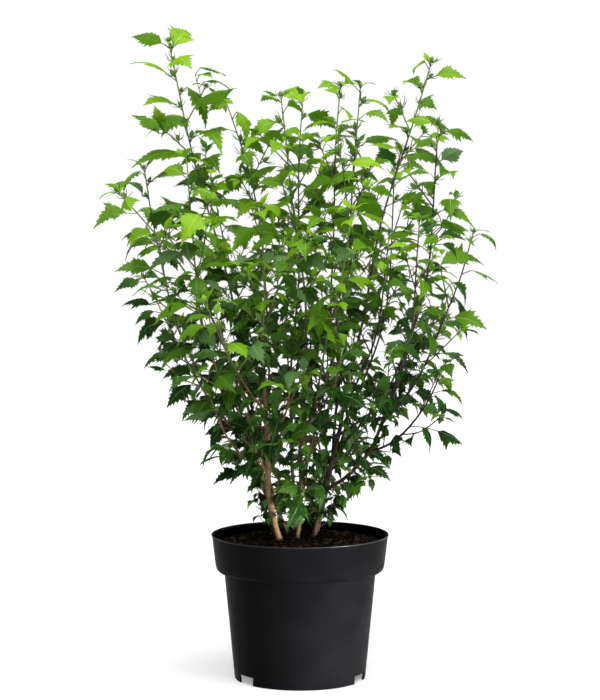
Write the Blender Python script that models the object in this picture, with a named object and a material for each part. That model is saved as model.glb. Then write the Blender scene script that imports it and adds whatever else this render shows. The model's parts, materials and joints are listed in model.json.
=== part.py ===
"""A young hibiscus shrub in its black nursery pot.

Sub-parts: the pot, the soil that fills it, seven woody stems that rise from one root, the boughs that fork
from them, and one mass of foliage on each leafy shoot. Metres, +Z up. The origin is on the ground under the
pot's centre, and -Y is the front.
"""

import math
import random
from dataclasses import dataclass

import bmesh
import bpy
import numpy as np

# ---- Driving dimensions ------------------------------------------------------------------------------------
CLEARANCE = 0.0003  # kept between solids that touch

POT_HEIGHT = 0.1875
RIM_RADIUS = 0.1150
LIP_HEIGHT = 0.0035
LIP_DEPTH = 0.0022
COLLAR_BOTTOM_RADIUS = 0.1090
COLLAR_HEIGHT = 0.0430
COLLAR_ROUNDING = 0.0080
BODY_TOP_RADIUS = 0.0985
FOOT_RADIUS = 0.0850
WALL = 0.0024
FOOT_HEIGHT = 0.0115
FOOT_COUNT = 3
NOTCH_ANGLE = math.radians(22)
FIRST_NOTCH = math.radians(-145)
POT_SIDES = 36

SOIL_EDGE_DEPTH = 0.0155  # below the rim, at the wall
SOIL_CROWN = 0.0120  # how far the middle stands above the edge
SOIL_CROWN_RADIUS = 0.0500
SOIL_SIDES = 24
SOIL_TOP = POT_HEIGHT - SOIL_EDGE_DEPTH + SOIL_CROWN
LOWEST_LEAF = POT_HEIGHT + 0.0030

ROOT_FLARE = 1.35  # how much wider a stem is at the soil
FLARE_HEIGHT = 0.020
STEM_SIDES = 8
BOUGH_SIDES = 6
SHOOT_SIDES = 3
TWIG_SIDES = 3
STEM_TAPER = 0.62
BOUGH_TAPER = 0.80
SHOOT_TIP_RADIUS = 0.0012
TWIG_RADIUS = 0.0012
TWIG_TIP_RADIUS = 0.0009
SECTION_LENGTH = 0.044  # of a limb between two rings
SHORT_SECTION = 0.009  # the shortest stretch left where a limb is cut
SAMPLE_STEP = 0.006
SWAY = 0.02  # how far a limb wanders from its smooth arc, as a share of its length
FORK_ANGLE = math.radians(34)  # least angle between a limb and the side shoot on it

INTERNODE = 0.0265
LEAF_TURN = math.radians(137.5)
BLADE_LENGTH = 0.058
BLADE_SHAPE = 0.64  # width over length
WIDEST_AT = 0.44  # share of the blade's length
PETIOLE_LENGTH = 0.019
PETIOLE_ANGLE = math.radians(50)
YOUNG_PITCH = math.radians(16)  # of a blade above level, at a shoot's tip
OLD_PITCH = math.radians(-38)  # and low in the crown
PITCH_SPREAD = math.radians(18)
ROLL_SPREAD = math.radians(42)
LEAF_THICKNESS = 0.0020
LEAF_SAMPLES = (0.12, 0.25, 0.38, 0.5, 0.6, 0.7, 0.8, 0.9, 1.0)  # shares of its length
LEAF_SIZES = (1.0, 0.86, 0.74, 0.66)  # tried in turn where a leaf lacks room
LEAF_SWINGS = (0.0, 0.55, -0.55, 1.1, -1.1)
TIP_LEAF_INSET = 0.004
TIP_LEAF_SIZE = 0.62
TWIG_INTERVAL = 0.042
TWIG_START = math.radians(70)  # from the first leaf to the first twig, round the stem
TWIG_LENGTH = 0.085
TWIG_SIZES = (1.0, 0.72, 0.5)
LEAF_SPACING = 0.0040  # between two leaves of a mass
SPACE_MARGIN = 0.0012  # between two masses' spaces, on each side
LIMB_MARGIN = 0.0014
SPACE_REACH = 0.135  # furthest that a mass reaches from its own stem


@dataclass(frozen=True)
class Stem:
    """A woody stem: its foot on the soil, and the fork where it ends."""

    name: str
    foot: tuple
    fork: tuple
    sweep: float
    radius: float


@dataclass(frozen=True)
class Shoot:
    """A shoot that leaves its parent limb at a share of the limb's length.

    Its first part, up to the share `bare`, is a bough, and the rest carries one mass of foliage. A shoot with
    no bare part is one solid from its foot. Leaves start at the share `leafy`, and the first one points
    `turn` degrees round from the front.
    """

    name: str
    parent: str
    along: float
    tip: tuple
    sweep: float
    bare: float
    leafy: float
    turn: float = 0
    radius: float = 0.0024


STEMS = (
    Stem("stem_front", (-0.027, -0.032), (-0.046, -0.070, 0.400), 0.72, 0.0058),
    Stem("stem_left", (-0.030, -0.002), (-0.062, -0.014, 0.330), 0.62, 0.0046),
    Stem("stem_left_back", (-0.016, 0.022), (-0.060, 0.040, 0.335), 0.60, 0.0044),
    Stem("stem_middle", (-0.004, -0.012), (0.002, -0.030, 0.345), 0.60, 0.0044),
    Stem("stem_right", (0.018, -0.002), (0.066, 0.022, 0.395), 0.47, 0.0046),
    Stem("stem_back_left", (0.000, 0.036), (-0.012, 0.078, 0.330), 0.66, 0.0042),
    Stem("stem_back_right", (0.022, 0.028), (0.046, 0.074, 0.320), 0.62, 0.0042),
)

# The one low bough that forks again before it bears leaves.
SIDE_BOUGH = Shoot("right_fork", "stem_right", 0.27, (0.110, -0.026, 0.350), 0.74, 1.0, 1.0, 0, 0.0034)

SHOOTS = (
    # The left side of the crown.
    Shoot("left_tall", "stem_left_back", 1.00, (-0.168, 0.016, 0.818), 0.66, 0.20, 0.32, 30),
    Shoot("left_back_high", "stem_left_back", 0.88, (-0.097, 0.070, 0.748), 0.62, 0.0, 0.32, 210),
    Shoot("left_upper", "stem_left_back", 0.76, (-0.204, 0.070, 0.655), 0.62, 0.0, 0.26, 240),
    Shoot("left_back_low", "stem_left_back", 0.62, (-0.120, 0.090, 0.460), 0.62, 0.0, 0.18, 180),
    Shoot("left_far", "stem_left", 1.00, (-0.227, -0.040, 0.626), 0.60, 0.16, 0.26, 90),
    Shoot("left_front_high", "stem_left", 0.90, (-0.140, -0.100, 0.668), 0.60, 0.0, 0.26, 150),
    Shoot("left_side", "stem_left", 0.78, (-0.186, 0.012, 0.490), 0.62, 0.0, 0.18, 30),
    Shoot("left_low", "stem_left", 0.62, (-0.112, -0.052, 0.366), 0.68, 0.0, 0.08, 150),
    # The front and the middle.
    Shoot("front_right", "stem_front", 1.00, (0.014, -0.186, 0.572), 0.60, 0.14, 0.26, 150),
    Shoot("front_high", "stem_front", 0.89, (-0.048, -0.140, 0.605), 0.62, 0.0, 0.26, 120),
    Shoot("front_left", "stem_front", 0.78, (-0.100, -0.190, 0.480), 0.66, 0.0, 0.18, 210),
    Shoot("front_low", "stem_front", 0.64, (-0.012, -0.180, 0.390), 0.74, 0.0, 0.18, 330),
    Shoot("middle_high", "stem_middle", 1.00, (-0.024, 0.010, 0.747), 0.50, 0.12, 0.32, 0),
    Shoot("middle_right", "stem_middle", 0.86, (0.044, -0.070, 0.710), 0.58, 0.0, 0.32, 270),
    Shoot("middle_front", "stem_middle", 0.74, (0.062, -0.160, 0.602), 0.66, 0.0, 0.26, 30),
    Shoot("middle_low", "stem_middle", 0.60, (0.052, -0.165, 0.440), 0.70, 0.0, 0.18, 240),
    # The right side.
    Shoot("right_tall", "stem_right", 1.00, (0.167, 0.014, 0.790), 0.55, 0.16, 0.32, 20),
    Shoot("right_middle", "stem_right", 0.90, (0.052, 0.036, 0.762), 0.72, 0.0, 0.32, 90),
    Shoot("right_inner", "stem_right", 0.78, (0.118, 0.090, 0.570), 0.66, 0.0, 0.26, 180),
    Shoot("right_side", "stem_right", 0.62, (0.168, 0.074, 0.440), 0.66, 0.0, 0.18, 240),
    Shoot("right_upper", "right_fork", 1.00, (0.174, -0.050, 0.712), 0.80, 0.16, 0.32, 150),
    Shoot("right_far", "right_fork", 0.86, (0.223, 0.016, 0.574), 0.64, 0.0, 0.26, 330),
    Shoot("right_front", "right_fork", 0.72, (0.146, -0.136, 0.592), 0.74, 0.0, 0.26, 270),
    Shoot("right_low", "right_fork", 0.56, (0.182, -0.056, 0.410), 0.66, 0.0, 0.18, 330),
    # The back, which is as full as the front.
    Shoot("back_high", "stem_back_left", 1.00, (0.004, 0.120, 0.754), 0.56, 0.14, 0.32, 0),
    Shoot("back_left_high", "stem_back_left", 0.88, (-0.118, 0.164, 0.640), 0.66, 0.0, 0.26, 120),
    Shoot("back_middle", "stem_back_left", 0.75, (-0.016, 0.184, 0.590), 0.62, 0.0, 0.26, 70),
    Shoot("back_left_low", "stem_back_left", 0.58, (-0.096, 0.160, 0.410), 0.72, 0.0, 0.18, 270),
    Shoot("back_right_high", "stem_back_right", 1.00, (0.080, 0.104, 0.766), 0.62, 0.14, 0.32, 270),
    Shoot("back_right", "stem_back_right", 0.87, (0.128, 0.160, 0.660), 0.68, 0.0, 0.26, 120),
    Shoot("back_right_side", "stem_back_right", 0.74, (0.172, 0.120, 0.520), 0.68, 0.0, 0.18, 120),
    Shoot("back_right_low", "stem_back_right", 0.58, (0.074, 0.172, 0.430), 0.74, 0.0, 0.18, 60),
    # Short leafy side shoots low on the stems.
    Shoot("left_inner", "stem_left", 0.52, (-0.050, 0.016, 0.440), 0.40, 0.0, 0.08, 270, 0.0020),
    Shoot("middle_inner", "stem_middle", 0.48, (0.028, -0.012, 0.500), 0.50, 0.0, 0.08, 60, 0.0020),
    Shoot("back_inner", "stem_back_right", 0.46, (0.012, 0.064, 0.480), 0.50, 0.0, 0.08, 210, 0.0020),
    Shoot("low_left", "stem_left", 0.42, (-0.066, 0.020, 0.304), 0.66, 0.0, 0.08, 0, 0.0020),
    Shoot("low_front_left", "stem_front", 0.40, (-0.056, -0.086, 0.306), 0.70, 0.0, 0.08, 240, 0.0020),
    Shoot("low_front", "stem_middle", 0.34, (0.010, -0.080, 0.294), 0.74, 0.0, 0.08, 300, 0.0020),
    Shoot("low_right", "right_fork", 0.30, (0.074, -0.062, 0.288), 0.74, 0.0, 0.08, 330, 0.0020),
    Shoot("low_right_back", "stem_right", 0.40, (0.078, 0.044, 0.300), 0.74, 0.0, 0.08, 270, 0.0020),
    Shoot("low_back_left", "stem_back_left", 0.34, (-0.050, 0.090, 0.300), 0.74, 0.0, 0.08, 180, 0.0020),
    Shoot("low_back_right", "stem_back_right", 0.34, (0.020, 0.112, 0.300), 0.74, 0.0, 0.08, 60, 0.0020),
)

BARK_BROWN = (0.24, 0.16, 0.10)
SHOOT_GREEN = (0.16, 0.22, 0.08)
LEAF_GREEN = (0.10, 0.27, 0.04)
POT_BLACK = (0.018, 0.018, 0.020)
SOIL_BROWN = (0.030, 0.020, 0.013)


# ---- Curves and limbs --------------------------------------------------------------------------------------
def unit(vector):
    return vector / max(np.linalg.norm(vector), 1e-12)


def vec(*numbers):
    return np.array(numbers, float)


def across(vector, axis):
    """The part of a vector that is square to an axis."""
    axis = unit(axis)
    return vector - axis * (vector @ axis)


class Limb:
    """A tapering limb, straight between its rings. Its end faces can be square to given aims."""

    def __init__(self, points, radii, start_aim=None, end_aim=None):
        self.points = np.array(points)
        self.radii = np.array(radii)
        self.start_aim, self.end_aim = start_aim, end_aim
        steps = np.linalg.norm(np.diff(self.points, axis=0), axis=1)
        self.marks = np.concatenate([[0.0], np.cumsum(steps)])
        self.length = self.marks[-1]

    def place(self, mark):
        return vec(*(np.interp(mark, self.marks, self.points[:, axis]) for axis in range(3)))

    def radius(self, mark):
        return float(np.interp(mark, self.marks, self.radii))

    def tangent(self, mark):
        if self.start_aim is not None and mark <= 0:
            return self.start_aim
        if self.end_aim is not None and mark >= self.length:
            return self.end_aim
        reach = SECTION_LENGTH / 3
        near = min(max(mark, reach), self.length - reach)
        return unit(self.place(near + reach) - self.place(near - reach))

    def part(self, start, end):
        """The stretch of this limb between two marks, with no ring too near either end."""
        inside = [mark for mark in self.marks if start + SHORT_SECTION < mark < end - SHORT_SECTION]
        marks = [start, *inside, end]
        points, radii = [self.place(mark) for mark in marks], [self.radius(mark) for mark in marks]
        return Limb(points, radii, self.tangent(start), self.tangent(end))

    def samples(self, first=0.0):
        """Points close together on the axis, from a mark on."""
        return np.array([self.place(mark) for mark in np.arange(first, self.length, SAMPLE_STEP)])


def arc_limb(name, start, control, end, start_radius, end_radius):
    """A limb on a parabola from start to end, with a slow sway that its name seeds."""
    spans = (end - start, control - start, end - control)
    length = sum(np.linalg.norm(span) for span in spans) / 2
    count = max(1, round(length / SECTION_LENGTH)) + 1
    share = np.linspace(0, 1, count)[:, None]
    smooth = start * (1 - share) ** 2 + control * 2 * share * (1 - share) + end * share**2
    turn = random.Random(name).uniform(0, 2 * math.pi) + 4.0 * share
    sway = np.hstack([np.cos(turn), np.sin(turn), 0 * turn])
    points = smooth + SWAY * length * np.sin(math.pi * share) ** 2 * sway
    radii = start_radius + (end_radius - start_radius) * share[:, 0]
    return Limb(points, radii)


def flared(limb):
    """A stem with two more rings near its foot, where it widens towards the root."""
    marks = sorted([*limb.marks, FLARE_HEIGHT * 0.35, FLARE_HEIGHT * 0.8])
    widths = [1 + (ROOT_FLARE - 1) * max(0.0, 1 - mark / FLARE_HEIGHT) ** 2 for mark in marks]
    radii = [limb.radius(mark) * width for mark, width in zip(marks, widths)]
    return Limb([limb.place(mark) for mark in marks], radii)


def swept_control(start, end, sweep):
    """The parabola's control point: sweep above a half goes outwards first and then up."""
    run = end - start
    return start + run * vec(sweep, sweep, 1 - sweep)


def stem_limb(stem):
    start = vec(*stem.foot, SOIL_TOP + CLEARANCE)
    end = vec(*stem.fork)
    control = swept_control(start, end, stem.sweep)
    return flared(arc_limb(stem.name, start, control, end, stem.radius, stem.radius * STEM_TAPER))


def shoot_limb(shoot, parent):
    """A shoot's whole limb, from its parent's axis. At the parent's end it carries on in line."""
    mark = shoot.along * parent.length
    start, end = parent.place(mark), vec(*shoot.tip)
    onward = parent.tangent(mark)
    if shoot.along == 1.0:
        start = start + onward * CLEARANCE
        control = start + onward * 0.4 * np.linalg.norm(end - start)
        radius = parent.radius(mark)
    else:
        reach = swept_control(start, end, shoot.sweep) - start
        aim, side = unit(reach), unit(across(reach, onward))
        if aim @ onward > math.cos(FORK_ANGLE):
            aim = onward * math.cos(FORK_ANGLE) + side * math.sin(FORK_ANGLE)
        control = start + aim * np.linalg.norm(reach)
        radius = min(shoot.radius, 0.85 * parent.radius(mark))
    tip_radius = SHOOT_TIP_RADIUS if shoot.bare < 1 else radius * BOUGH_TAPER
    limb = arc_limb(shoot.name, start, control, end, radius, tip_radius)
    if shoot.along == 1.0:
        limb.start_aim = onward
    return limb


# ---- Solids ------------------------------------------------------------------------------------------------
def mesh_object(name, mesh_vertices, faces, material=None):
    mesh = bpy.data.meshes.new(name)
    mesh.from_pydata([tuple(v) for v in mesh_vertices], [], faces)
    mesh.update()
    if material:
        mesh.materials.append(material)
    made = bpy.data.objects.new(name, mesh)
    bpy.context.scene.collection.objects.link(made)
    return made


def tube_faces(rings, sides):
    """The sides and both flat ends of a tube of rings, facing out."""
    faces = []
    for ring in range(rings - 1):
        for side in range(sides):
            low, next_low = ring * sides + side, ring * sides + (side + 1) % sides
            faces.append((low, next_low, next_low + sides, low + sides))
    faces.append(tuple(reversed(range(sides))))
    faces.append(tuple(range((rings - 1) * sides, rings * sides)))
    return faces


def tube(limb, sides):
    """Vertices and faces of a limb as a tube whose rings don't twist."""
    spoke = unit(across(vec(0.31, 0.95, 0.07), limb.tangent(0)))
    points = []
    for mark, centre, radius in zip(limb.marks, limb.points, limb.radii):
        onward = limb.tangent(mark)
        spoke = unit(across(spoke, onward))
        other = np.cross(onward, spoke)
        for side in range(sides):
            angle = 2 * math.pi * side / sides
            points.append(centre + (spoke * math.cos(angle) + other * math.sin(angle)) * radius)
    return np.array(points), tube_faces(len(limb.points), sides)


def seat_on_side(points, sides, limb, parent, mark):
    """Moves a tube's first ring to lie against its parent's side, clear of it."""
    aim = limb.tangent(0)
    outward = unit(across(aim, parent.tangent(mark)))
    wall = parent.place(mark) + outward * (parent.radius(mark) + CLEARANCE)
    for index in range(sides):
        gap = (wall - points[index]) @ outward
        points[index] = points[index] + aim * gap / (aim @ outward)
    return points


def limb_object(name, limb, sides, material, parent=None, mark=None):
    points, faces = tube(limb, sides)
    if parent is not None:
        points = seat_on_side(points, sides, limb, parent, mark)
    return mesh_object(name, points, faces, material)


def stem_object(stem, limb, material):
    """A stem, cut level where it stands on the soil."""
    made = limb_object(stem.name, limb, STEM_SIDES, material)
    for vertex in made.data.vertices[:STEM_SIDES]:
        vertex.co.z = limb.points[0][2]
    return made


# ---- Leaves and the spaces of the masses -------------------------------------------------------------------
@dataclass
class Leaf:
    """A leaf on its petiole: where it springs from, how its petiole and blade run, and its size."""

    root: np.ndarray
    rise: np.ndarray  # the petiole's direction
    run: np.ndarray  # the blade's direction
    up: np.ndarray
    size: float
    age: float  # 0 at a shoot's tip, 1 low in the crown
    sunk: float  # how far its root lies beyond the limb's axis

    def outline(self):
        """The blade's base, middle, tip, left and right."""
        blade = BLADE_LENGTH * self.size
        base = self.root + self.rise * PETIOLE_LENGTH * self.size
        middle = base + self.run * blade * WIDEST_AT + self.up * blade * 0.05
        tip = base + self.run * blade - self.up * blade * (0.06 + 0.16 * self.age)
        side = np.cross(self.up, self.run) * blade * BLADE_SHAPE / 2
        return base, middle, tip, middle + side, middle - side

    def samples(self):
        """Points all over the leaf but its root, which tell whether it stays clear of something."""
        _, middle, tip, left, _ = self.outline()
        peak = np.linalg.norm(middle - self.root) / np.linalg.norm(tip - self.root)
        points = []
        for share in LEAF_SAMPLES:
            if share < peak:
                centre, width = self.root + (middle - self.root) * share / peak, share / peak
            else:
                beyond = (share - peak) / (1 - peak)
                centre, width = middle + (tip - middle) * beyond, 1 - beyond
            points += [centre + (left - middle) * width * side for side in (-1, -0.5, 0, 0.5, 1)]
        return np.array(points)

    def solid(self):
        """Points and the six faces of a thin kite, flat below and ridged above. Its root lies in the limb."""
        _, middle, tip, left, right = self.outline()
        root = self.root - self.rise * self.sunk
        points = np.array([root, left, right, tip, middle + self.up * LEAF_THICKNESS])
        faces = [(0, 1, 2), (1, 3, 2), (0, 4, 1), (0, 2, 4), (4, 3, 1), (4, 2, 3)]
        return points, faces


class Segments:
    """The straight stretches of some limbs."""

    def __init__(self, limbs):
        self.starts = np.vstack([limb.points[:-1] for limb in limbs])
        self.runs = np.vstack([np.diff(limb.points, axis=0) for limb in limbs])
        self.radii = np.concatenate([limb.radii[:-1] for limb in limbs])

    def distances(self, points):
        """From each point to each stretch's axis."""
        offsets = points[:, None] - self.starts[None]
        shares = (offsets * self.runs).sum(axis=2) / (self.runs**2).sum(axis=1)
        nearest = self.runs[None] * np.clip(shares, 0, 1)[:, :, None]
        return np.linalg.norm(offsets - nearest, axis=2)


class Spaces:
    """The crown's room, shared out: each point belongs to the mass whose stem is nearest."""

    def __init__(self, leafy, leafless):
        self.owners = np.array([name for name, limb in leafy.items() for _ in limb.points[1:]])
        self.stems = Segments(leafy.values())
        self.leafless_owners = np.array([name for name, limb in leafless for _ in limb.points[1:]])
        self.leafless = Segments([limb for _, limb in leafless])

    def has_room(self, name, points):
        """True if the points keep to the mass's own space and clear of every other leafless limb."""
        if points[:, 2].min() < LOWEST_LEAF:
            return False
        wood = self.leafless.distances(points) - self.leafless.radii
        if wood[:, self.leafless_owners != name].min() < LIMB_MARGIN:
            return False
        near = self.stems.distances(points)
        own = near[:, self.owners == name].min(axis=1)
        others = near[:, self.owners != name].min(axis=1)
        return (own + 2 * SPACE_MARGIN < others).all() and own.max() < SPACE_REACH


def leaf_at(limb, mark, angle, size, age, rng):
    """A leaf on a limb, turned by angle round it. Young leaves stand up and old ones hang."""
    onward = limb.tangent(mark)
    spoke = unit(across(vec(0.0, -1.0, 0.1), onward))
    outward = spoke * math.cos(angle) + np.cross(onward, spoke) * math.sin(angle)
    rise = unit(onward * math.cos(PETIOLE_ANGLE) + outward * math.sin(PETIOLE_ANGLE))
    level = unit(vec(rise[0], rise[1], 0.0) + 0.3 * vec(outward[0], outward[1], 0.0))
    pitch = YOUNG_PITCH + (OLD_PITCH - YOUNG_PITCH) * age + rng.uniform(-PITCH_SPREAD, PITCH_SPREAD)
    run = level * math.cos(pitch) + vec(0, 0, math.sin(pitch))
    roll = rng.uniform(-ROLL_SPREAD, ROLL_SPREAD)
    flat_up = unit(across(vec(0, 0, 1), run))
    up = flat_up * math.cos(roll) + np.cross(run, flat_up) * math.sin(roll)
    return Leaf(limb.place(mark), rise, run, up, size, age, 0.4 * limb.radius(mark))


def fit_leaf(spaces, name, limb, mark, angle, size, age, seed, placed):
    """The largest leaf near the wanted angle that has room, or None."""
    for scale in LEAF_SIZES:
        for swing in LEAF_SWINGS:
            leaf = leaf_at(limb, mark, angle + swing, size * scale, age, random.Random(seed))
            samples = leaf.samples()
            if spaces.has_room(name, samples) and clear_of(samples, placed):
                return leaf
    return None


def clear_of(samples, placed):
    """True if the points keep their distance from all points of the leaves already placed."""
    if not placed:
        return True
    others = np.vstack([leaf.samples() for leaf in placed])
    return np.linalg.norm(samples[:, None] - others[None], axis=2).min() > LEAF_SPACING


def fit_twig(spaces, name, limb, mark, angle, length, radius):
    """A side twig that leaves its stem at an angle and curves up, as long as its room allows."""
    onward = limb.tangent(mark)
    spoke = unit(across(vec(0.0, -1.0, 0.1), onward))
    outward = spoke * math.cos(angle) + np.cross(onward, spoke) * math.sin(angle)
    start = limb.place(mark)
    for scale in TWIG_SIZES:
        reach = length * scale
        control = start + (outward * 0.8 + onward * 0.6) * reach * 0.45
        end = control + unit(outward * 0.5 + onward * 0.5 + vec(0, 0, 0.5)) * reach * 0.55
        twig = arc_limb(name, start, control, end, radius, TWIG_TIP_RADIUS)
        if spaces.has_room(name, twig.samples(first=2 * SAMPLE_STEP)):
            return twig
    return None


def leaf_size(share, crown_age, rng):
    """Leaves are largest half way up a shoot, small at its tip, and smaller low in the crown."""
    along_shoot = 0.80 + 0.42 * math.sin(math.pi * min(1.0, share + 0.12)) ** 0.7
    return along_shoot * (1 - 0.32 * crown_age) * rng.uniform(0.88, 1.10)


def leafed(spaces, name, limb, key, crown_age, placed, first, phase):
    """Adds leaves at every node of a limb from a mark on, a golden turn apart, and one at its tip."""
    rng = random.Random(key)
    mark, node = first, 0
    while mark < limb.length - 0.3 * INTERNODE:
        share = mark / limb.length
        size = leaf_size(share, crown_age, rng)
        age = crown_age * (1 - 0.75 * share)
        angle = phase + node * LEAF_TURN
        leaf = fit_leaf(spaces, name, limb, mark, angle, size, age, f"{key}-{node}", placed)
        if leaf:
            placed.append(leaf)
        node += 1
        mark += INTERNODE * (1 - 0.4 * share**2)
    tip_mark, angle = limb.length - TIP_LEAF_INSET, phase + node * LEAF_TURN
    leaf = fit_leaf(spaces, name, limb, tip_mark, angle, TIP_LEAF_SIZE, 0.1, key, placed)
    if leaf:
        placed.append(leaf)


def crown_age_at(height):
    """1 for the old leaves low in the crown, 0 for the young ones at its top."""
    return min(1.0, max(0.0, (0.74 - height) / 0.40))


def grow_mass(spaces, shoot, limb, first):
    """(twigs, leaves) of one mass from a mark on its stem, by a rule that its name seeds."""
    name = shoot.name
    age = crown_age_at(limb.points[:, 2].mean())
    phase = math.radians(shoot.turn)
    leaves, twigs = [], []
    leafed(spaces, name, limb, name, age, leaves, first + INTERNODE * 0.5, phase)
    rng = random.Random(name + "-twigs")
    mark, node = first + INTERNODE * 0.9, 0
    while mark < limb.length * 0.78:
        share = mark / limb.length
        length = TWIG_LENGTH * (1.15 - 0.7 * share) * rng.uniform(0.85, 1.1)
        radius = min(TWIG_RADIUS, 0.8 * limb.radius(mark))
        angle = phase + TWIG_START + node * LEAF_TURN
        twig = fit_twig(spaces, name, limb, mark, angle, length, radius)
        if twig:
            twigs.append(twig)
            key, around = f"{name}-twig-{node}", rng.uniform(0, 2 * math.pi)
            leafed(spaces, name, twig, key, min(1.0, age + 0.1), leaves, INTERNODE * 0.9, around)
        node += 1
        mark += TWIG_INTERVAL
    return twigs, leaves


def mass_object(name, limb, twigs, leaves, material, parent=None, mark=None):
    """One solid: the mass's stem with its twigs and leaves fused on by a Boolean union."""
    body = limb_object(f"foliage_{name}", limb, SHOOT_SIDES, material, parent, mark)
    parts = bpy.data.collections.new(name)
    for twig in twigs:
        parts.objects.link(mesh_object("twig", *tube(twig, TWIG_SIDES)))
    for leaf in leaves:
        parts.objects.link(mesh_object("leaf", *leaf.solid()))
    fuse(body, parts)
    return body


def fuse(body, parts):
    """Joins a collection's solids to a body, then removes them and any loose scrap."""
    union = body.modifiers.new("union", "BOOLEAN")
    union.operand_type = "COLLECTION"
    union.collection = parts
    union.operation = "UNION"
    union.solver = "MANIFOLD"
    graph = bpy.context.evaluated_depsgraph_get()
    fused = bpy.data.meshes.new_from_object(body.evaluated_get(graph))
    body.modifiers.clear()
    body.data = fused
    for part in list(parts.objects):
        bpy.data.objects.remove(part)
    bpy.data.collections.remove(parts)
    keep_largest_piece(body)


def keep_largest_piece(body):
    edit = bmesh.new()
    edit.from_mesh(body.data)
    unseen, pieces = set(edit.verts), []
    while unseen:
        piece, edge_of_piece = set(), [unseen.pop()]
        while edge_of_piece:
            vertex = edge_of_piece.pop()
            piece.add(vertex)
            near = {edge.other_vert(vertex) for edge in vertex.link_edges} & unseen
            unseen -= near
            edge_of_piece += near
        pieces.append(piece)
    pieces.sort(key=len)
    scrap = [vertex for piece in pieces[:-1] for vertex in piece]
    bmesh.ops.delete(edit, geom=scrap, context="VERTS")
    edit.to_mesh(body.data)
    edit.free()


# ---- Pot and soil ------------------------------------------------------------------------------------------
def turned(name, profile, sides, material):
    """A solid turned round Z from a closed profile of (radius, height) points."""
    points, faces = [], []
    for turn in range(sides):
        angle = 2 * math.pi * turn / sides
        points += [(r * math.cos(angle), r * math.sin(angle), z) for r, z in profile]
    count = len(profile)
    for turn in range(sides):
        here, there = turn * count, (turn + 1) % sides * count
        for index in range(count):
            after = (index + 1) % count
            faces.append((here + index, there + index, there + after, here + after))
    made = mesh_object(name, points, faces, material)
    weld_axis(made)
    return made


def weld_axis(made):
    """Closes a turned solid whose profile runs down the axis."""
    edit = bmesh.new()
    edit.from_mesh(made.data)
    bmesh.ops.remove_doubles(edit, verts=edit.verts, dist=1e-6)
    bmesh.ops.dissolve_degenerate(edit, edges=edit.edges, dist=1e-7)
    loose = [edge for edge in edit.edges if not edge.link_faces]
    bmesh.ops.delete(edit, geom=loose, context="EDGES")
    bmesh.ops.recalc_face_normals(edit, faces=edit.faces)
    edit.to_mesh(made.data)
    edit.free()


def body_radius(height):
    """The pot's outer radius below its collar."""
    share = height / (POT_HEIGHT - COLLAR_HEIGHT - COLLAR_ROUNDING)
    return FOOT_RADIUS + (BODY_TOP_RADIUS - FOOT_RADIUS) * share


def make_pot(material):
    step = POT_HEIGHT - COLLAR_HEIGHT - COLLAR_ROUNDING
    collar_low = POT_HEIGHT - COLLAR_HEIGHT
    collar_top = RIM_RADIUS - LIP_DEPTH
    rounding = COLLAR_ROUNDING * 0.3
    outside = [
        (FOOT_RADIUS, 0.0),
        (body_radius(step), step),
        (COLLAR_BOTTOM_RADIUS - rounding, step),
        (COLLAR_BOTTOM_RADIUS, collar_low),
        (collar_top, POT_HEIGHT - LIP_HEIGHT),
        (RIM_RADIUS, POT_HEIGHT - LIP_HEIGHT * 0.8),
        (RIM_RADIUS, POT_HEIGHT),
    ]
    inside = [
        (collar_top - WALL, POT_HEIGHT),
        (COLLAR_BOTTOM_RADIUS - WALL, collar_low),
        (COLLAR_BOTTOM_RADIUS - rounding - WALL, step + WALL),
        (body_radius(step) - WALL, step + WALL),
        (body_radius(FOOT_HEIGHT) - WALL, FOOT_HEIGHT + WALL),
        (0.0, FOOT_HEIGHT + WALL),
        (0.0, FOOT_HEIGHT),
        (body_radius(FOOT_HEIGHT) - WALL, FOOT_HEIGHT),
        (FOOT_RADIUS - WALL, 0.0),
    ]
    pot = turned("pot", outside + inside, POT_SIDES, material)
    for notch in range(FOOT_COUNT):
        cut_notch(pot, FIRST_NOTCH + notch * 2 * math.pi / FOOT_COUNT)
    return pot


def cut_notch(pot, angle):
    """A drain notch through the foot ring: a wedge cutter with sloping sides."""
    near, far = FOOT_RADIUS * 0.85, FOOT_RADIUS * 1.1
    low, high = -0.004, FOOT_HEIGHT - 0.0004
    spread = {low: NOTCH_ANGLE / 2 * 0.86, high: NOTCH_ANGLE / 2}
    points = []
    for height in (low, high):
        for side, reach in ((-1, near), (1, near), (1, far), (-1, far)):
            turn = angle + side * spread[height]
            points.append((reach * math.cos(turn), reach * math.sin(turn), height))
    faces = [(0, 1, 2, 3), (7, 6, 5, 4)]
    faces += [(i, i + 4, (i + 1) % 4 + 4, (i + 1) % 4) for i in range(4)]
    cutter = mesh_object("notch_cutter", points, faces)
    weld_axis(cutter)
    cut = pot.modifiers.new("notch", "BOOLEAN")
    cut.operation, cut.object = "DIFFERENCE", cutter
    graph = bpy.context.evaluated_depsgraph_get()
    pot.data = bpy.data.meshes.new_from_object(pot.evaluated_get(graph))
    pot.modifiers.clear()
    bpy.data.objects.remove(cutter)


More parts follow.
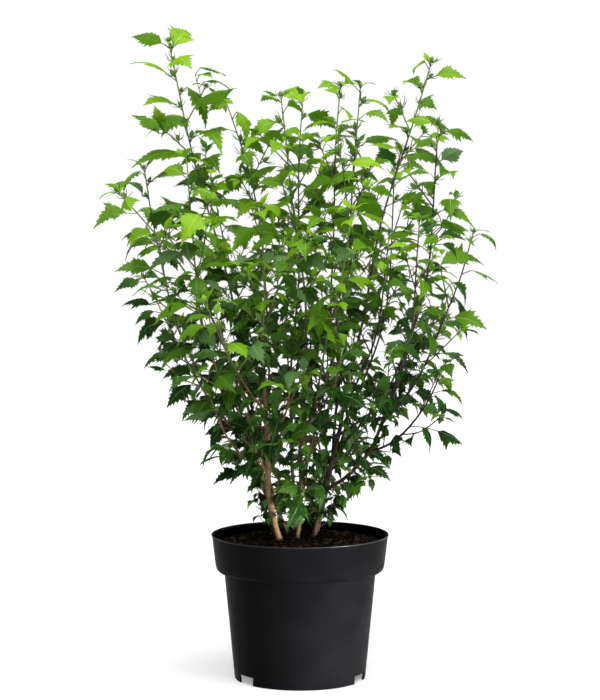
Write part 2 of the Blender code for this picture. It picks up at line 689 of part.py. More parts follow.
def make_soil(material):
    """Soil that fills the pot, a little higher in the middle where the stems stand."""
    step = POT_HEIGHT - COLLAR_HEIGHT - COLLAR_ROUNDING
    gap = WALL + CLEARANCE * 2
    edge = POT_HEIGHT - SOIL_EDGE_DEPTH
    collar_low = POT_HEIGHT - COLLAR_HEIGHT
    rounding = COLLAR_ROUNDING * 0.3
    collar_slope = (RIM_RADIUS - LIP_DEPTH - COLLAR_BOTTOM_RADIUS) / COLLAR_HEIGHT
    edge_radius = COLLAR_BOTTOM_RADIUS + collar_slope * (edge - collar_low)
    profile = [
        (0.0, FOOT_HEIGHT + gap),
        (body_radius(FOOT_HEIGHT) - gap, FOOT_HEIGHT + gap),
        (body_radius(step) - gap, step + gap),
        (COLLAR_BOTTOM_RADIUS - rounding - gap, step + gap),
        (COLLAR_BOTTOM_RADIUS - gap, collar_low + CLEARANCE),
        (edge_radius - gap, edge),
        (SOIL_CROWN_RADIUS, SOIL_TOP),
        (0.0, SOIL_TOP),
    ]
    return turned("soil", profile, SOIL_SIDES, material)


# ---- Assembly ----------------------------------------------------------------------------------------------
def finish(name, colour, roughness):
    material = bpy.data.materials.new(name)
    material.use_nodes = True
    shader = material.node_tree.nodes["Principled BSDF"]
    shader.inputs["Base Color"].default_value = (*colour, 1.0)
    shader.inputs["Roughness"].default_value = roughness
    shader.inputs["Metallic"].default_value = 0.0
    return material


def clear_scene():
    for item in list(bpy.data.objects):
        bpy.data.objects.remove(item)


def all_limbs():
    """Every stem and shoot as a whole limb, by name."""
    limbs = {stem.name: stem_limb(stem) for stem in STEMS}
    for shoot in (SIDE_BOUGH, *SHOOTS):
        limbs[shoot.name] = shoot_limb(shoot, limbs[shoot.parent])
    return limbs


def split_shoot(shoot, limb):
    """(bough or None, the mass's stem, the mark on that stem where its leaves start) of a shoot."""
    leaves_from = limb.length * (shoot.leafy - shoot.bare)
    if shoot.bare == 0:
        return None, limb, leaves_from
    cut = limb.length * shoot.bare
    return limb.part(0, cut), limb.part(cut + CLEARANCE, limb.length), leaves_from


def share_out(limbs, parts):
    """The crown's spaces, from the leafy and the leafless stretches of every limb."""
    leafy, leafless = {}, [(stem.name, limbs[stem.name]) for stem in STEMS]
    leafless.append((SIDE_BOUGH.name, limbs[SIDE_BOUGH.name]))
    for name, (bough, stem, leaves_from) in parts.items():
        leafy[name] = stem.part(leaves_from, stem.length)
        leafless.append((name, stem.part(0, leaves_from)))
        if bough:
            leafless.append((f"bough_{name}", bough))
    return Spaces(leafy, leafless)


def main():
    clear_scene()
    bark = finish("bark", BARK_BROWN, 0.8)
    green_wood = finish("green_wood", SHOOT_GREEN, 0.6)
    foliage = finish("foliage", LEAF_GREEN, 0.5)
    make_pot(finish("pot_plastic", POT_BLACK, 0.45))
    make_soil(finish("soil", SOIL_BROWN, 0.95))

    limbs = all_limbs()
    for stem in STEMS:
        stem_object(stem, limbs[stem.name], bark)

    parts = {shoot.name: split_shoot(shoot, limbs[shoot.name]) for shoot in SHOOTS}
    spaces = share_out(limbs, parts)
    for shoot in (SIDE_BOUGH, *SHOOTS):
        seat = (None, None)
        if shoot.along < 1:
            seat = limbs[shoot.parent], shoot.along * limbs[shoot.parent].length
        if shoot is SIDE_BOUGH:
            limb_object(f"bough_{shoot.name}", limbs[shoot.name], BOUGH_SIDES, green_wood, *seat)
            continue
        bough, stem, leaves_from = parts[shoot.name]
        if bough:
            limb_object(f"bough_{shoot.name}", bough, BOUGH_SIDES, green_wood, *seat)
            seat = (None, None)
        twigs, leaves = grow_mass(spaces, shoot, stem, leaves_from)
        mass_object(shoot.name, stem, twigs, leaves, foliage, *seat)


main()
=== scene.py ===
"""A young hibiscus shrub in its black nursery pot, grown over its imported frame.

It makes the moulded pot, the peat and its crumbs, the barked stems and boughs, and on every leafy shoot its
twigs, toothed leaves on their stalks and spiky buds. Metres, +Z up, the ground at zero and -Y the front.
"""

import functools
import json
import math
import random
from dataclasses import dataclass

import bmesh
import bpy
import numpy as np
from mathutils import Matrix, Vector, kdtree, noise

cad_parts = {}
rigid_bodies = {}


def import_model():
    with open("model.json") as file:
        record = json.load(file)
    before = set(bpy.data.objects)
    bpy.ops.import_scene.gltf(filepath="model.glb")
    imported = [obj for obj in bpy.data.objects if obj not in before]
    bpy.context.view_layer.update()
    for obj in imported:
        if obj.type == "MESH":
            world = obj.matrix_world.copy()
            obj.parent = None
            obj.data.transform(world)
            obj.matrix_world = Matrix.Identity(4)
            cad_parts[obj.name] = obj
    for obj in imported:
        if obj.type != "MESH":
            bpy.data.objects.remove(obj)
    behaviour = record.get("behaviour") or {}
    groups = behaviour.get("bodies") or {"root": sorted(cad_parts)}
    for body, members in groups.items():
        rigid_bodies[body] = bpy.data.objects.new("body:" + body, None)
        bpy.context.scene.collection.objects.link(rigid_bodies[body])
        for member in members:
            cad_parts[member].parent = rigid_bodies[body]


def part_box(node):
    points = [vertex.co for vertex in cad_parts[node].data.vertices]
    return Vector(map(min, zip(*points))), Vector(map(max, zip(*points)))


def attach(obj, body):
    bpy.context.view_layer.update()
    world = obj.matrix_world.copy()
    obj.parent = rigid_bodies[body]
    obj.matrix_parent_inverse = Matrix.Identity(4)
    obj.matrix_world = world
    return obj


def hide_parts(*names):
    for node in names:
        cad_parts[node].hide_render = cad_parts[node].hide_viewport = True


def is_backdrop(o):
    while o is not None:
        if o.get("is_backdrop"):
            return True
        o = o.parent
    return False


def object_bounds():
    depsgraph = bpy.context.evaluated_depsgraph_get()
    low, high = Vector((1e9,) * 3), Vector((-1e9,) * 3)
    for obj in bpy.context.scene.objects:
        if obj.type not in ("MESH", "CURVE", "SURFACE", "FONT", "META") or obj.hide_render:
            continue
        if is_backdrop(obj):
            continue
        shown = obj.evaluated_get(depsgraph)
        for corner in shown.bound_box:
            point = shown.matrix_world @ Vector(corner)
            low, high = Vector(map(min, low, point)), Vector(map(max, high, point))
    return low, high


bl_info = {
    "name": "Potted Hibiscus Shrub",
    "version": (1, 0, 0),
    "blender": (4, 5, 0),
    "location": "View3D > Sidebar > Hibiscus",
    "description": "Grows a young hibiscus shrub in a black nursery pot",
    "category": "Object",
}

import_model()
CAD_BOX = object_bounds()
POT_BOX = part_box("pot")
SOIL_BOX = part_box("soil")

# ---- Sizes of the pot and the soil, in metres ----------------------------------------------------------------
POT_HEIGHT = POT_BOX[1].z
RIM_RADIUS = POT_BOX[1].x
SOIL_TOP = SOIL_BOX[1].z
LIP_HEIGHT = 0.0022
LIP_DEPTH = 0.0009
COLLAR_BOTTOM_RADIUS = 0.1090
COLLAR_HEIGHT = 0.0395
COLLAR_ROUNDING = 0.0080
BODY_TOP_RADIUS = 0.0985
FOOT_RADIUS = 0.0850
WALL = 0.0024
FOOT_HEIGHT = 0.0115
FOOT_COUNT = 3
NOTCH_ANGLE = math.radians(22)
NOTCH_SLOPE = 0.86  # how much narrower a notch is at the ground
FIRST_NOTCH = math.radians(-145)
COLLAR_STEP = POT_HEIGHT - COLLAR_HEIGHT - COLLAR_ROUNDING
LIP_EDGE = POT_HEIGHT - LIP_HEIGHT * 0.7  # from here up the lip is painted paler, a painted highlight where light catches the rim's rounded edge
POT_SIDES = 144
POT_CREASE = 35
SOIL_SIDES = 150
SOIL_RINGS = 56
SOIL_CROWN_RADIUS = 0.0500
SOIL_EDGE_RADIUS = 0.1092
SOIL_FALL = 0.0095
SOIL_FALL_POWER = 1.3
SOIL_LUMPS = ((0.0130, 0.0020), (0.0050, 0.0016), (0.0022, 0.0005))  # (width, height) of the lumps of each size
SOIL_SETTLED = 0.0006
CRUMB_SIZES, BIG_CRUMB = (0.4, 1.0), 1.7
CRUMB_STRETCH = ((0.7, 1.5), (0.6, 1.1), (0.45, 0.9))
CRUMB_LUMPS = 0.45
CRUMB_SUNK = 0.15
STEM_ROOM = 0.007  # no crumb lies nearer to a stem's axis

# ---- Growth rule of the crown --------------------------------------------------------------------------------
CLEARANCE = 0.0003  # between solids that meet
LOWEST_LEAF = POT_HEIGHT + 0.0030
ROOT_FLARE = 1.35  # how much wider a stem is at the soil
FLARE_HEIGHT = 0.020
FLARE_RINGS = (0.35, 0.8)  # of that height
STEM_TAPER = 0.62
BOUGH_TAPER = 0.80
SHOOT_TIP_RADIUS = 0.0012
TWIG_RADIUS = 0.0012
TWIG_TIP_RADIUS = 0.0009
SECTION_LENGTH = 0.044
SHORT_SECTION = 0.009
SAMPLE_STEP = 0.006
SWAY = 0.02  # of a limb's length
FORK_ANGLE = math.radians(34)
FORK_WIDTH = 0.85  # the most that a shoot's foot has of its parent's width
LINE_ON = 0.4  # how far along its way a shoot in line with its parent begins to bend

INTERNODE = 0.0265
NODE_CROWDING = 0.4  # how much closer together the nodes at a tip are
NODELESS_TIP = 0.3  # of an internode
FIRST_NODE = 0.5
TWIG_FIRST_NODE = 0.9
SPRIG_FIRST_NODE = 0.7
TIP_YOUTH = 0.75  # how much younger the leaves at a limb's tip are
TWIG_AGEING = 0.1
LEAF_TURN = math.radians(137.5)
BLADE_LENGTH = 0.058
BLADE_SHAPE = 0.64
WIDEST_AT = 0.44
BLADE_ARCH, YOUNG_DROP, OLD_DROP = 0.05, 0.06, 0.16  # of its length
SMALL_SIZE, SIZE_GAIN, SIZE_POWER = 0.80, 0.42, 0.7  # of the leaves at a tip, and half way up a shoot
LEAF_SCATTER = (0.88, 1.10)
OLD_LEAF_SHRINK = 0.32
YOUNG_HEIGHT = 0.74  # leaves above this height are young
AGEING_DEPTH = 0.40  # and those this far below it are old
PETIOLE_LENGTH = 0.019
PETIOLE_ANGLE = math.radians(50)
YOUNG_PITCH = math.radians(16)
OLD_PITCH = math.radians(-38)
PITCH_SPREAD = math.radians(18)
ROLL_SPREAD = math.radians(42)
LEAF_SAMPLES = (0.12, 0.25, 0.38, 0.5, 0.6, 0.7, 0.8, 0.9, 1.0)
LEAF_SWINGS = (0.0, 0.55, -0.55, 1.1, -1.1)
LEAF_REACH = 0.13  # leaves whose middles are further apart don't touch
TIP_LEAF_INSET = 0.004
TIP_LEAF_SIZE, TIP_LEAF_AGE = 0.62, 0.1
TWIG_INTERVAL = 0.042
TWIG_START = math.radians(70)
TWIG_LENGTH = 0.085
LOW_TWIG, TWIG_LOSS = 1.15, 0.7  # its length at the stem's foot, and how much of it is lost by the tip
TWIG_SCATTER = (0.85, 1.1)
TWIG_BEND = (0.8, 0.6, 0.45, 0.5, 0.5)  # how far out and on it sets off, where it turns, and how it ends
SPRIG_BEND = (0.7, 0.7, 0.50, 0.6, 0.3)
TWIG_LIFT = 0.5
TWIG_SIZES = (1.0, 0.72, 0.5)
TWIGGED = 0.78  # the share of a leafy stem that bears twigs
SPACE_REACH = 0.135
SPACE_LOOK = 0.24  # stretches further off than this make no difference
LIMB_LOOK = 0.10
SPRIG_SHARE = 0.6  # of the nodes have a sprig beside them
SPRIG_LENGTH = (0.014, 0.034)
SPRIG_SCATTER = (0.8, 1.25)
SPRIG_LEAVES = ((0.35, 0.50), (0.70, 0.52), (1.0, 0.62))  # (share of the sprig, size)
WOOD_START = 0.012  # sprigs on leafless wood: where they begin, and how far apart they are
WOOD_STEP = 0.013
WOOD_SHARE = 0.1  # their leaves are as deep in the crown as those this far along a limb
FOOT_START = 0.005  # and the same on the feet of the stems
FOOT_STEP = 0.009
FOOT_GROWTH = ("low_left", "low_front_left", "low_front", "low_right", "low_right_back", "low_back_left",
               "low_back_right", "left_back_low")
FILL_HIGH, FILL_LOW, FILL_POWER = 0.42, 1.58, 2.5  # how the finer growth thickens downwards
OPENING = 0.85  # the share of it that is missing where the crown is open
RIGHT_OPENS = (0.03, 0.10)
LEFT_OPENS = (0.11, 0.17)
SHOULDER = (0.55, 0.62)
SKIRT_RADII = (0.055, 0.090, 0.150, 0.200)


@dataclass(frozen=True)
class Room:
    """How much room a new leaf or twig keeps, and the sizes that it tries."""

    space: float  # to the next mass's space; below zero, how far it may reach into it
    limb: float
    leaf: float
    sizes: tuple
    skirt: tuple = (LOWEST_LEAF, LOWEST_LEAF)  # how low a leaf may hang, from the crown's middle outwards

    def above_pot(self, points):
        reach = np.hypot(points[:, 0], points[:, 1])
        widths = SKIRT_RADII[:len(self.skirt)]
        return (points[:, 2] > np.interp(reach, widths, self.skirt)).all()


FIRST_GROWTH = Room(0.0024, 0.0014, 0.0040, (1.0, 0.86, 0.74, 0.66))
FINE_GROWTH = Room(-0.030, 0.0008, 0.0024, (0.95, 0.80, 0.66, 0.54), (SOIL_TOP + 0.003, 0.235, 0.290, 0.340))


@dataclass(frozen=True)
class Stem:
    """A woody stem: its foot on the soil, and the fork where it ends."""

    name: str
    foot: tuple
    fork: tuple
    sweep: float
    radius: float
    bark: str


@dataclass(frozen=True)
class Shoot:
    """A shoot from its parent limb: a bare bough up to the share `bare`, leafy from the share `leafy`."""

    name: str
    parent: str
    along: float
    tip: tuple
    sweep: float
    bare: float
    leafy: float
    turn: float = 0
    radius: float = 0.0024


STEMS = tuple(Stem(*row) for row in (
    ("stem_front", (-0.027, -0.032), (-0.046, -0.070, 0.400), 0.72, 0.0058, "tan"),
    ("stem_left", (-0.030, -0.002), (-0.062, -0.014, 0.330), 0.62, 0.0046, "tan"),
    ("stem_left_back", (-0.016, 0.022), (-0.060, 0.040, 0.335), 0.60, 0.0044, "brown"),
    ("stem_middle", (-0.004, -0.012), (0.002, -0.030, 0.345), 0.60, 0.0044, "brown"),
    ("stem_right", (0.018, -0.002), (0.066, 0.022, 0.395), 0.47, 0.0046, "plum"),
    ("stem_back_left", (0.000, 0.036), (-0.012, 0.078, 0.330), 0.66, 0.0042, "brown"),
    ("stem_back_right", (0.022, 0.028), (0.046, 0.074, 0.320), 0.62, 0.0042, "plum"),
))

SIDE_BOUGH = Shoot("right_fork", "stem_right", 0.27, (0.110, -0.026, 0.350), 0.74, 1.0, 1.0, 0, 0.0034)

SHOOTS = tuple(Shoot(*row) for row in (
    # The left side of the crown.
    ("left_tall", "stem_left_back", 1.00, (-0.168, 0.016, 0.818), 0.66, 0.20, 0.32, 30),
    ("left_back_high", "stem_left_back", 0.88, (-0.097, 0.070, 0.748), 0.62, 0.0, 0.32, 210),
    ("left_upper", "stem_left_back", 0.76, (-0.204, 0.070, 0.655), 0.62, 0.0, 0.26, 240),
    ("left_back_low", "stem_left_back", 0.62, (-0.120, 0.090, 0.460), 0.62, 0.0, 0.18, 180),
    ("left_far", "stem_left", 1.00, (-0.227, -0.040, 0.626), 0.60, 0.16, 0.26, 90),
    ("left_front_high", "stem_left", 0.90, (-0.140, -0.100, 0.668), 0.60, 0.0, 0.26, 150),
    ("left_side", "stem_left", 0.78, (-0.186, 0.012, 0.490), 0.62, 0.0, 0.18, 30),
    ("left_low", "stem_left", 0.62, (-0.112, -0.052, 0.366), 0.68, 0.0, 0.08, 150),
    # The front and the middle.
    ("front_right", "stem_front", 1.00, (0.014, -0.186, 0.572), 0.60, 0.14, 0.26, 150),
    ("front_high", "stem_front", 0.89, (-0.048, -0.140, 0.605), 0.62, 0.0, 0.26, 120),
    ("front_left", "stem_front", 0.78, (-0.100, -0.190, 0.480), 0.66, 0.0, 0.18, 210),
    ("front_low", "stem_front", 0.64, (-0.012, -0.180, 0.390), 0.74, 0.0, 0.18, 330),
    ("middle_high", "stem_middle", 1.00, (-0.024, 0.010, 0.747), 0.50, 0.12, 0.32, 0),
    ("middle_right", "stem_middle", 0.86, (0.044, -0.070, 0.710), 0.58, 0.0, 0.32, 270),
    ("middle_front", "stem_middle", 0.74, (0.062, -0.160, 0.602), 0.66, 0.0, 0.26, 30),
    ("middle_low", "stem_middle", 0.60, (0.052, -0.165, 0.440), 0.70, 0.0, 0.18, 240),
    # The right side.
    ("right_tall", "stem_right", 1.00, (0.167, 0.014, 0.790), 0.55, 0.16, 0.32, 20),
    ("right_middle", "stem_right", 0.90, (0.052, 0.036, 0.762), 0.72, 0.0, 0.32, 90),
    ("right_inner", "stem_right", 0.78, (0.118, 0.090, 0.570), 0.66, 0.0, 0.26, 180),
    ("right_side", "stem_right", 0.62, (0.168, 0.074, 0.440), 0.66, 0.0, 0.18, 240),
    ("right_upper", "right_fork", 1.00, (0.174, -0.050, 0.712), 0.80, 0.16, 0.32, 150),
    ("right_far", "right_fork", 0.86, (0.223, 0.016, 0.574), 0.64, 0.0, 0.26, 330),
    ("right_front", "right_fork", 0.72, (0.146, -0.136, 0.592), 0.74, 0.0, 0.26, 270),
    ("right_low", "right_fork", 0.56, (0.182, -0.056, 0.410), 0.66, 0.0, 0.18, 330),
    # The back, which is as full as the front.
    ("back_high", "stem_back_left", 1.00, (0.004, 0.120, 0.754), 0.56, 0.14, 0.32, 0),
    ("back_left_high", "stem_back_left", 0.88, (-0.118, 0.164, 0.640), 0.66, 0.0, 0.26, 120),
    ("back_middle", "stem_back_left", 0.75, (-0.016, 0.184, 0.590), 0.62, 0.0, 0.26, 70),
    ("back_left_low", "stem_back_left", 0.58, (-0.096, 0.160, 0.410), 0.72, 0.0, 0.18, 270),
    ("back_right_high", "stem_back_right", 1.00, (0.080, 0.104, 0.766), 0.62, 0.14, 0.32, 270),
    ("back_right", "stem_back_right", 0.87, (0.128, 0.160, 0.660), 0.68, 0.0, 0.26, 120),
    ("back_right_side", "stem_back_right", 0.74, (0.172, 0.120, 0.520), 0.68, 0.0, 0.18, 120),
    ("back_right_low", "stem_back_right", 0.58, (0.074, 0.172, 0.430), 0.74, 0.0, 0.18, 60),
    # Short leafy side shoots low on the stems.
    ("left_inner", "stem_left", 0.52, (-0.050, 0.016, 0.440), 0.40, 0.0, 0.08, 270, 0.0020),
    ("middle_inner", "stem_middle", 0.48, (0.028, -0.012, 0.500), 0.50, 0.0, 0.08, 60, 0.0020),
    ("back_inner", "stem_back_right", 0.46, (0.012, 0.064, 0.480), 0.50, 0.0, 0.08, 210, 0.0020),
    ("low_left", "stem_left", 0.42, (-0.066, 0.020, 0.304), 0.66, 0.0, 0.08, 0, 0.0020),
    ("low_front_left", "stem_front", 0.40, (-0.056, -0.086, 0.306), 0.70, 0.0, 0.08, 240, 0.0020),
    ("low_front", "stem_middle", 0.34, (0.010, -0.080, 0.294), 0.74, 0.0, 0.08, 300, 0.0020),
    ("low_right", "right_fork", 0.30, (0.074, -0.062, 0.288), 0.74, 0.0, 0.08, 330, 0.0020),
    ("low_right_back", "stem_right", 0.40, (0.078, 0.044, 0.300), 0.74, 0.0, 0.08, 270, 0.0020),
    ("low_back_left", "stem_back_left", 0.34, (-0.050, 0.090, 0.300), 0.74, 0.0, 0.08, 180, 0.0020),
    ("low_back_right", "stem_back_right", 0.34, (0.020, 0.112, 0.300), 0.74, 0.0, 0.08, 60, 0.0020),
))

# The masses are dressed by the part of the crown that they fill.
CROWN_SIDES = {
    "left": ("left_tall", "left_back_high", "left_upper", "left_back_low", "left_far", "left_front_high",
             "left_side", "left_low", "left_inner", "low_left"),
    "front": ("front_right", "front_high", "front_left", "front_low", "middle_front", "middle_low",
              "low_front_left", "low_front"),
    "middle": ("middle_high", "middle_right", "right_middle", "back_right_high", "back_high", "middle_inner",
               "back_inner"),
    "right": ("right_tall", "right_inner", "right_side", "right_upper", "right_far", "right_front",
              "right_low", "low_right", "low_right_back"),
    "back": ("back_left_high", "back_middle", "back_left_low", "back_right", "back_right_side",
             "back_right_low", "low_back_left", "low_back_right"),
}


def unit(vector):
    return vector / max(np.linalg.norm(vector), 1e-12)


def vec(*numbers):
    return np.array(numbers, float)


def across(vector, axis):
    """The part of a vector that is square to an axis."""
    axis = unit(axis)
    return vector - axis * (vector @ axis)


def turned(vector, other, angle):
    """A vector turned by an angle towards another one that is square to it."""
    return vector * math.cos(angle) + other * math.sin(angle)


def bent(start, control, end, share):
    """A point of the parabola from start to end, at a share of its way, or the points at many shares."""
    return start * (1 - share) ** 2 + control * 2 * share * (1 - share) + end * share**2


def outward_at(onward, angle):
    """The way out of a limb at an angle round it, from the front."""
    spoke = unit(across(vec(0.0, -1.0, 0.1), onward))
    return turned(spoke, np.cross(onward, spoke), angle)


class Limb:
    """A tapering limb through its rings."""

    def __init__(self, points, radii, start_aim=None, end_aim=None):
        self.points = np.array(points)
        self.radii = np.array(radii)
        self.start_aim, self.end_aim = start_aim, end_aim
        steps = np.linalg.norm(np.diff(self.points, axis=0), axis=1)
        self.marks = np.concatenate([[0.0], np.cumsum(steps)])
        self.length = self.marks[-1]
        self.known = {}

    def place(self, mark):
        if mark not in self.known:
            self.known[mark] = vec(*(np.interp(mark, self.marks, self.points[:, axis]) for axis in range(3)))
        return self.known[mark]

    def radius(self, mark):
        return float(np.interp(mark, self.marks, self.radii))

    def tangent(self, mark):
        if self.start_aim is not None and mark <= 0:
            return self.start_aim
        if self.end_aim is not None and mark >= self.length:
            return self.end_aim
        reach = SECTION_LENGTH / 3
        near = min(max(mark, reach), self.length - reach)
        return unit(self.place(near + reach) - self.place(near - reach))

    def part(self, start, end):
        """The stretch of this limb between two marks, with no ring too near either end."""
        inside = [mark for mark in self.marks if start + SHORT_SECTION < mark < end - SHORT_SECTION]
        marks = [start, *inside, end]
        points, radii = [self.place(mark) for mark in marks], [self.radius(mark) for mark in marks]
        return Limb(points, radii, self.tangent(start), self.tangent(end))

    def samples(self, first=0.0):
        """Points close together on the axis, from a mark on."""
        marks = np.arange(first, self.length, SAMPLE_STEP)
        return np.stack([np.interp(marks, self.marks, self.points[:, axis]) for axis in range(3)], axis=1)

    def smooth(self, marks):
        """Points of the limb at some marks, on a smooth curve through its rings."""
        knots, points = self.marks, self.points
        slopes = np.empty_like(points)
        slopes[1:-1] = (points[2:] - points[:-2]) / (knots[2:] - knots[:-2])[:, None]
        slopes[0] = unit(points[1] - points[0]) if self.start_aim is None else self.start_aim
        slopes[-1] = unit(points[-1] - points[-2]) if self.end_aim is None else self.end_aim
        index = np.clip(np.searchsorted(knots, marks, side="right") - 1, 0, len(knots) - 2)
        width = (knots[index + 1] - knots[index])[:, None]
        share = (marks - knots[index])[:, None] / width
        square, cube = share**2, share**3
        return (
            points[index] * (2 * cube - 3 * square + 1)
            + slopes[index] * width * (cube - 2 * square + share)
            + points[index + 1] * (3 * square - 2 * cube)
            + slopes[index + 1] * width * (cube - square)
        )


def arc_limb(name, start, control, end, start_radius, end_radius):
    """A limb on a parabola from start to end, with a slow sway that its name seeds."""
    spans = (end - start, control - start, end - control)
    length = sum(np.linalg.norm(span) for span in spans) / 2
    count = max(1, round(length / SECTION_LENGTH)) + 1
    share = np.linspace(0, 1, count)[:, None]
    turn = random.Random(name).uniform(0, 2 * math.pi) + 4.0 * share
    sway = np.hstack([np.cos(turn), np.sin(turn), 0 * turn])
    points = bent(start, control, end, share) + SWAY * length * np.sin(math.pi * share) ** 2 * sway
    radii = start_radius + (end_radius - start_radius) * share[:, 0]
    return Limb(points, radii)


def side_limb(name, limb, mark, angle, length, bend, radii):
    """A side twig that leaves its limb at an angle round it, and turns half way to rise more steeply."""
    out, on, turning, last_out, last_on = bend
    onward = limb.tangent(mark)
    outward = outward_at(onward, angle)
    start = limb.place(mark)
    control = start + (outward * out + onward * on) * length * turning
    aim = unit(outward * last_out + onward * last_on + vec(0, 0, TWIG_LIFT))
    return arc_limb(name, start, control, control + aim * length * (1 - turning), *radii)


def flared(limb):
    """A stem with two more rings near its foot, where it widens towards the root."""
    marks = sorted([*limb.marks, *(FLARE_HEIGHT * share for share in FLARE_RINGS)])
    widths = [1 + (ROOT_FLARE - 1) * max(0.0, 1 - mark / FLARE_HEIGHT) ** 2 for mark in marks]
    radii = [limb.radius(mark) * width for mark, width in zip(marks, widths)]
    return Limb([limb.place(mark) for mark in marks], radii)


def swept_control(start, end, sweep):
    """The parabola's control point: sweep above a half goes outwards first and then up."""
    run = end - start
    return start + run * vec(sweep, sweep, 1 - sweep)


def stem_limb(stem):
    start = vec(*stem.foot, SOIL_TOP + CLEARANCE)
    end = vec(*stem.fork)
    control = swept_control(start, end, stem.sweep)
    return flared(arc_limb(stem.name, start, control, end, stem.radius, stem.radius * STEM_TAPER))


def shoot_limb(shoot, parent):
    """A shoot's whole limb, from its parent's axis. At the parent's end it carries on in line."""
    mark = shoot.along * parent.length
    start, end = parent.place(mark), vec(*shoot.tip)
    onward = parent.tangent(mark)
    if shoot.along == 1.0:
        start = start + onward * CLEARANCE
        control = start + onward * LINE_ON * np.linalg.norm(end - start)
        radius = parent.radius(mark)
    else:
        reach = swept_control(start, end, shoot.sweep) - start
        aim, side = unit(reach), unit(across(reach, onward))
        if aim @ onward > math.cos(FORK_ANGLE):
            aim = turned(onward, side, FORK_ANGLE)
        control = start + aim * np.linalg.norm(reach)
        radius = min(shoot.radius, FORK_WIDTH * parent.radius(mark))
    tip_radius = SHOOT_TIP_RADIUS if shoot.bare < 1 else radius * BOUGH_TAPER
    limb = arc_limb(shoot.name, start, control, end, radius, tip_radius)
    if shoot.along == 1.0:
        limb.start_aim = onward
    return limb


@dataclass
class Leaf:
    """A leaf on its stalk: where it springs from, how its stalk and blade run, and its size."""

    root: np.ndarray
    rise: np.ndarray  # the stalk's direction
    run: np.ndarray  # the blade's direction
    up: np.ndarray
    size: float
    age: float  # 0 at a shoot's tip, 1 low in the crown
    share: float = 1.0  # how far along its limb it stands

    def outline(self):
        """The blade's base, middle, tip, left and right."""
        blade = BLADE_LENGTH * self.size
        base = self.root + self.rise * PETIOLE_LENGTH * self.size
        middle = base + self.run * blade * WIDEST_AT + self.up * blade * BLADE_ARCH
        tip = base + self.run * blade - self.up * blade * (YOUNG_DROP + OLD_DROP * self.age)
        side = np.cross(self.up, self.run) * blade * BLADE_SHAPE / 2
        return base, middle, tip, middle + side, middle - side

    @functools.cached_property
    def samples(self):
        """Points all over the leaf but its root."""
        _, middle, tip, left, _ = self.outline()
        peak = np.linalg.norm(middle - self.root) / np.linalg.norm(tip - self.root)
        points = []
        for share in LEAF_SAMPLES:
            if share < peak:
                centre, width = self.root + (middle - self.root) * share / peak, share / peak
            else:
                beyond = (share - peak) / (1 - peak)
                centre, width = middle + (tip - middle) * beyond, 1 - beyond
            points += [centre + (left - middle) * width * side for side in (-1, -0.5, 0, 0.5, 1)]
        return np.array(points)

    @functools.cached_property
    def centre(self):
        return tuple(self.samples.mean(axis=0))


class Segments:
    """The straight stretches of some limbs."""

    def __init__(self, limbs):
        self.starts = np.vstack([limb.points[:-1] for limb in limbs])
        self.runs = np.vstack([np.diff(limb.points, axis=0) for limb in limbs])
        self.radii = np.concatenate([limb.radii[:-1] for limb in limbs])
        self.middles = self.starts + self.runs / 2
        self.halves = np.linalg.norm(self.runs, axis=1) / 2

    def near(self, points, reach):
        """Which stretches come within reach of the middle of some points."""
        return np.linalg.norm(self.middles - points.mean(axis=0), axis=1) < reach + self.halves

    def distances(self, points, chosen):
        """From each point to each chosen stretch's axis."""
        starts, runs = self.starts[chosen], self.runs[chosen]
        offsets = points[:, None] - starts[None]
        shares = (offsets * runs).sum(axis=2) / (runs**2).sum(axis=1)
        nearest = runs[None] * np.clip(shares, 0, 1)[:, :, None]
        return np.linalg.norm(offsets - nearest, axis=2)


class Spaces:
    """The crown's room, shared out: each point belongs to the mass whose stem is nearest."""

    def __init__(self, leafy, leafless):
        self.owners = np.array([name for name, limb in leafy.items() for _ in limb.points[1:]])
        self.stems = Segments(leafy.values())
        self.leafless_owners = np.array([name for name, limb in leafless for _ in limb.points[1:]])
        self.leafless = Segments([limb for _, limb in leafless])

    def has_room(self, name, points, room):
        """True if the points keep to the mass's own space and clear of every other leafless limb."""
        if not room.above_pot(points):
            return False
        wood = self.leafless.near(points, LIMB_LOOK) & (self.leafless_owners != name)
        if wood.any():
            gaps = self.leafless.distances(points, wood) - self.leafless.radii[wood]
            if gaps.min() < room.limb:
                return False
        near = self.stems.near(points, SPACE_LOOK)
        mine, others = near & (self.owners == name), near & (self.owners != name)
        if not mine.any():
            return False
        own = self.stems.distances(points, mine).min(axis=1)
        if own.max() >= SPACE_REACH:
            return False
        return not others.any() or (own + room.space < self.stems.distances(points, others).min(axis=1)).all()


def leaf_at(limb, mark, angle, size, age, rng):
    """A leaf on a limb, turned by angle round it. Young leaves stand up and old ones hang."""
    onward = limb.tangent(mark)
    outward = outward_at(onward, angle)
    rise = unit(turned(onward, outward, PETIOLE_ANGLE))
    level = unit(vec(rise[0], rise[1], 0.0) + 0.3 * vec(outward[0], outward[1], 0.0))
    pitch = YOUNG_PITCH + (OLD_PITCH - YOUNG_PITCH) * age + rng.uniform(-PITCH_SPREAD, PITCH_SPREAD)
    run = level * math.cos(pitch) + vec(0, 0, math.sin(pitch))
    roll = rng.uniform(-ROLL_SPREAD, ROLL_SPREAD)
    flat_up = unit(across(vec(0, 0, 1), run))
    return Leaf(limb.place(mark), rise, run, turned(flat_up, np.cross(run, flat_up), roll), size, age)


def clear_of(samples, placed, spacing):
    """True if the points keep their distance from all points of the leaves already placed."""
    centre = samples.mean(axis=0)
    near = [leaf.samples for leaf in placed if math.dist(centre, leaf.centre) < LEAF_REACH]
    if not near:
        return True
    return np.linalg.norm(samples[:, None] - np.vstack(near)[None], axis=2).min() > spacing


